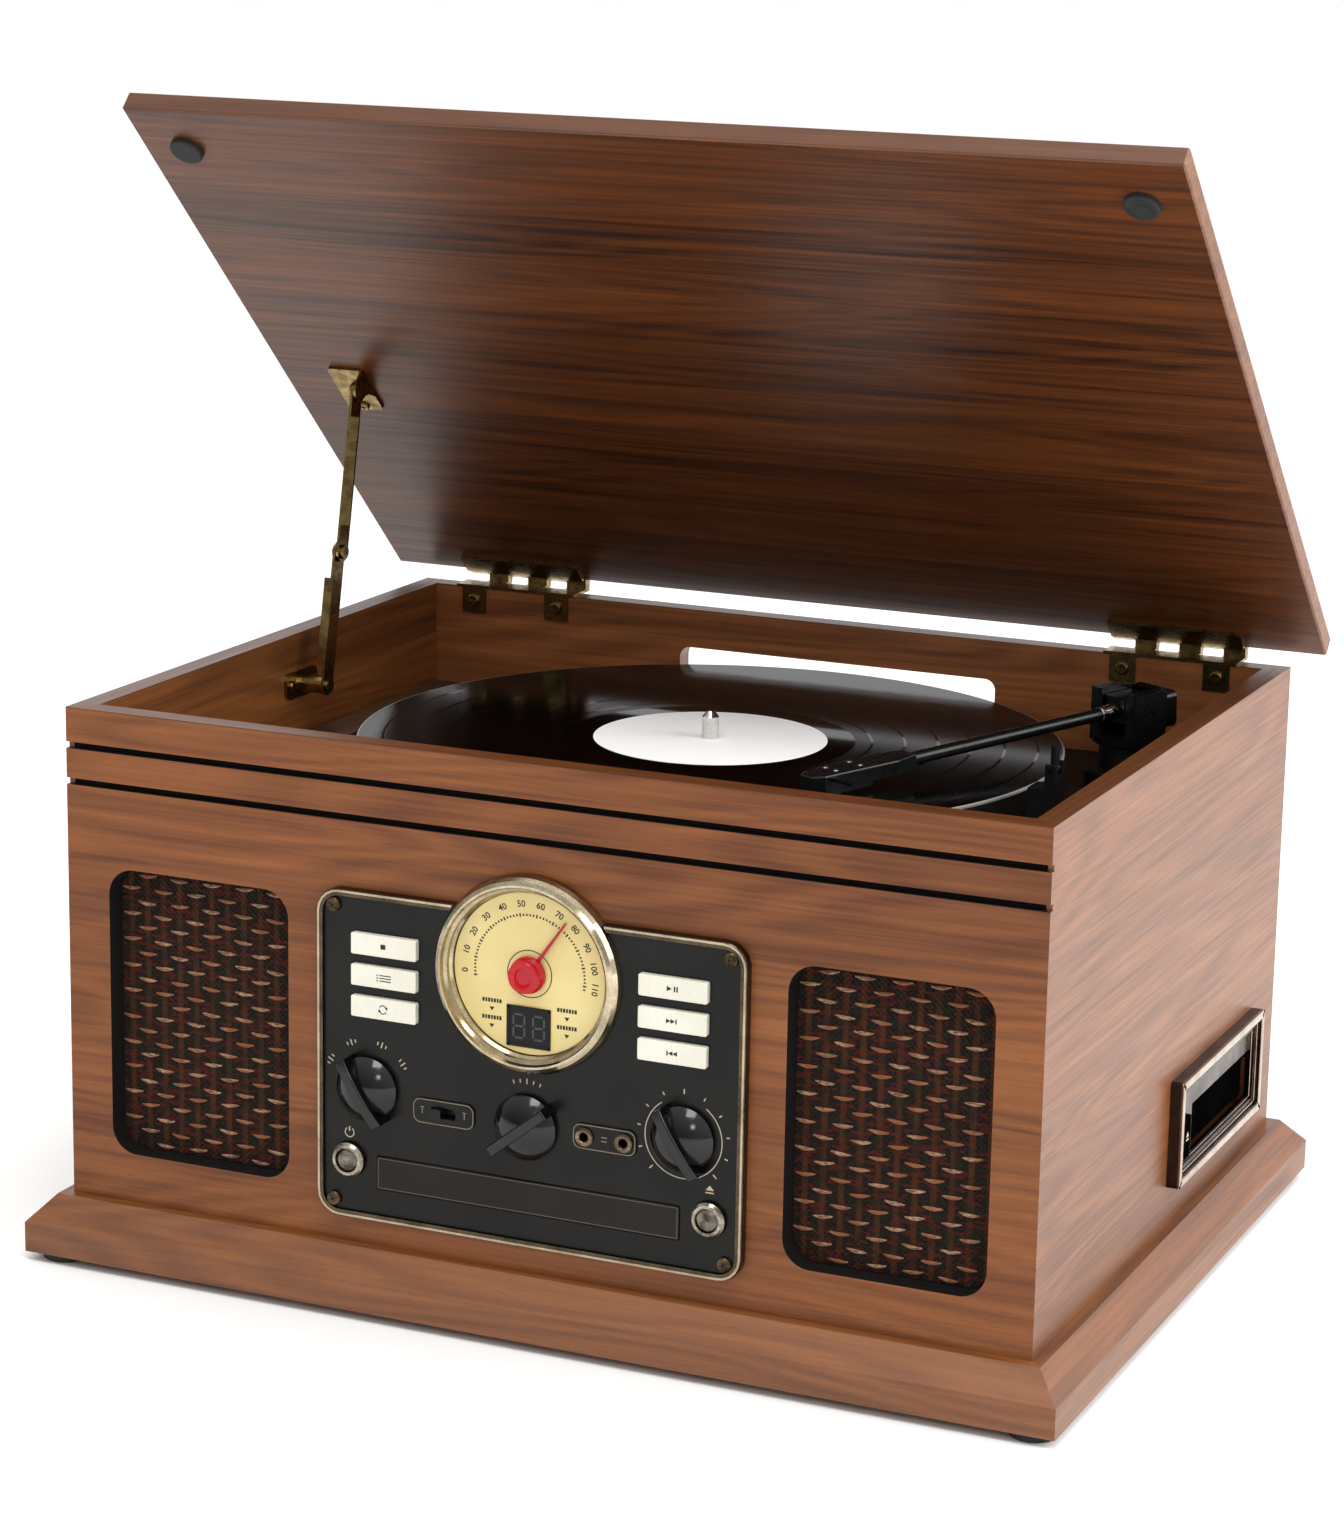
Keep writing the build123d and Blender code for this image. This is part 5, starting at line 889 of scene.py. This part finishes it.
# Rear plate: domed screws in its corners
REAR_PLATE_X, REAR_PLATE_Z = 95, 90
REAR_SCREW_X, REAR_SCREW_Z = 33, 19
rear_screws = bmesh.new()
for x in (REAR_PLATE_X - REAR_SCREW_X, REAR_PLATE_X + REAR_SCREW_X):
    for z in (REAR_PLATE_Z - REAR_SCREW_Z, REAR_PLATE_Z + REAR_SCREW_Z):
        join(rear_screws, turned([(2.4, 0), (2.5, 0.3), (1.9, 0.9), (0, 1.1)], 20), at(x, z, 0, 1.4))
finished(moved(rear_screws, on_rear(0, 0, 0)), "rear_plate_screws", "cabinet", steel)

# Floor, light and camera
floor_shape = bmesh.new()
bmesh.ops.create_circle(floor_shape, cap_ends=True, segments=64, radius=30)
floor_mesh = bpy.data.meshes.new("studio_floor")
floor_shape.to_mesh(floor_mesh)
floor_shape.free()
floor = bpy.data.objects.new("studio_floor", floor_mesh)
scene.collection.objects.link(floor)
paper = new_material("paper_sweep", Roughness=0.9, IOR=1.45)
fibre = grain(paper, add(paper, "TexCoord").node.outputs["Object"], 4, 2.0, 0.5)
feed(paper, Base_Color=add(paper, "Mix", [fibre, linear("#f4f4f3"), linear("#fbfbfa")], data_type="RGBA"))
floor_mesh.materials.append(paper)


def soft_light(name, spot, aim, width, height, watts):
    """A white soft box at a spot, turned to its aim."""
    lamp = bpy.data.lights.new(name, "AREA")
    lamp.shape = "RECTANGLE"
    lamp.size, lamp.size_y, lamp.energy = width, height, watts
    holder = bpy.data.objects.new(name, lamp)
    aimed = (Vector(aim) - Vector(spot)).to_track_quat("-Z", "Y").to_matrix().to_4x4()
    holder.matrix_world = Matrix.Translation(spot) @ aimed
    scene.collection.objects.link(holder)


soft_light("side_box", (2.4, 0.3, 1.4), (0, 0, 0.2), 1.6, 1.6, 48)
soft_light("front_box", (1.0, -2.3, 1.5), (0, 0, 0.15), 0.45, 0.45, 7)
soft_light("top_box", (0.3, -1.2, 2.7), (0, 0, 0.2), 1.1, 1.1, 32)

# A white room, brighter above, behind and to the right than in front
world = bpy.data.worlds.new("studio")
world.use_nodes = True
way = add(world, "TexCoord").node.outputs["Generated"]
lean = add(world, "VectorMath", [way, (0.25, 0.4, 0.55)], operation="DOT_PRODUCT")
glow = add(world, "Math", [lean, 0.7], operation="ADD")
background = world.node_tree.nodes["Background"]
background.inputs["Color"].default_value = (1, 1, 1, 1)
world.node_tree.links.new(glow, background.inputs["Strength"])
scene.world = world
scene.view_settings.view_transform = "Standard"

# The camera stands and looks as the photographer did, fitted to the straight edges of the case
YAW, PITCH, ROLL = (math.radians(a) for a in (23.7991, 13.5239, 1.0311))
CAMERA_PLACE = (0.66351, -1.53162, 0.60167)
FOCAL_LENGTH = 94.34
ahead = Vector((-math.sin(YAW) * math.cos(PITCH), math.cos(YAW) * math.cos(PITCH), -math.sin(PITCH)))
right = Vector((math.cos(YAW), math.sin(YAW), 0))
up = right.cross(ahead)
level_right = math.cos(ROLL) * right + math.sin(ROLL) * up
level_up = math.cos(ROLL) * up - math.sin(ROLL) * right
turn = Matrix((level_right, level_up, -ahead)).transposed().to_4x4()
lens = bpy.data.cameras.new("camera")
lens.sensor_width = 36
lens.sensor_fit = "AUTO"
lens.lens = FOCAL_LENGTH
lens.clip_end = 100
camera = bpy.data.objects.new("camera", lens)
camera.matrix_world = Matrix.Translation(CAMERA_PLACE) @ turn
scene.collection.objects.link(camera)
scene.camera = camera
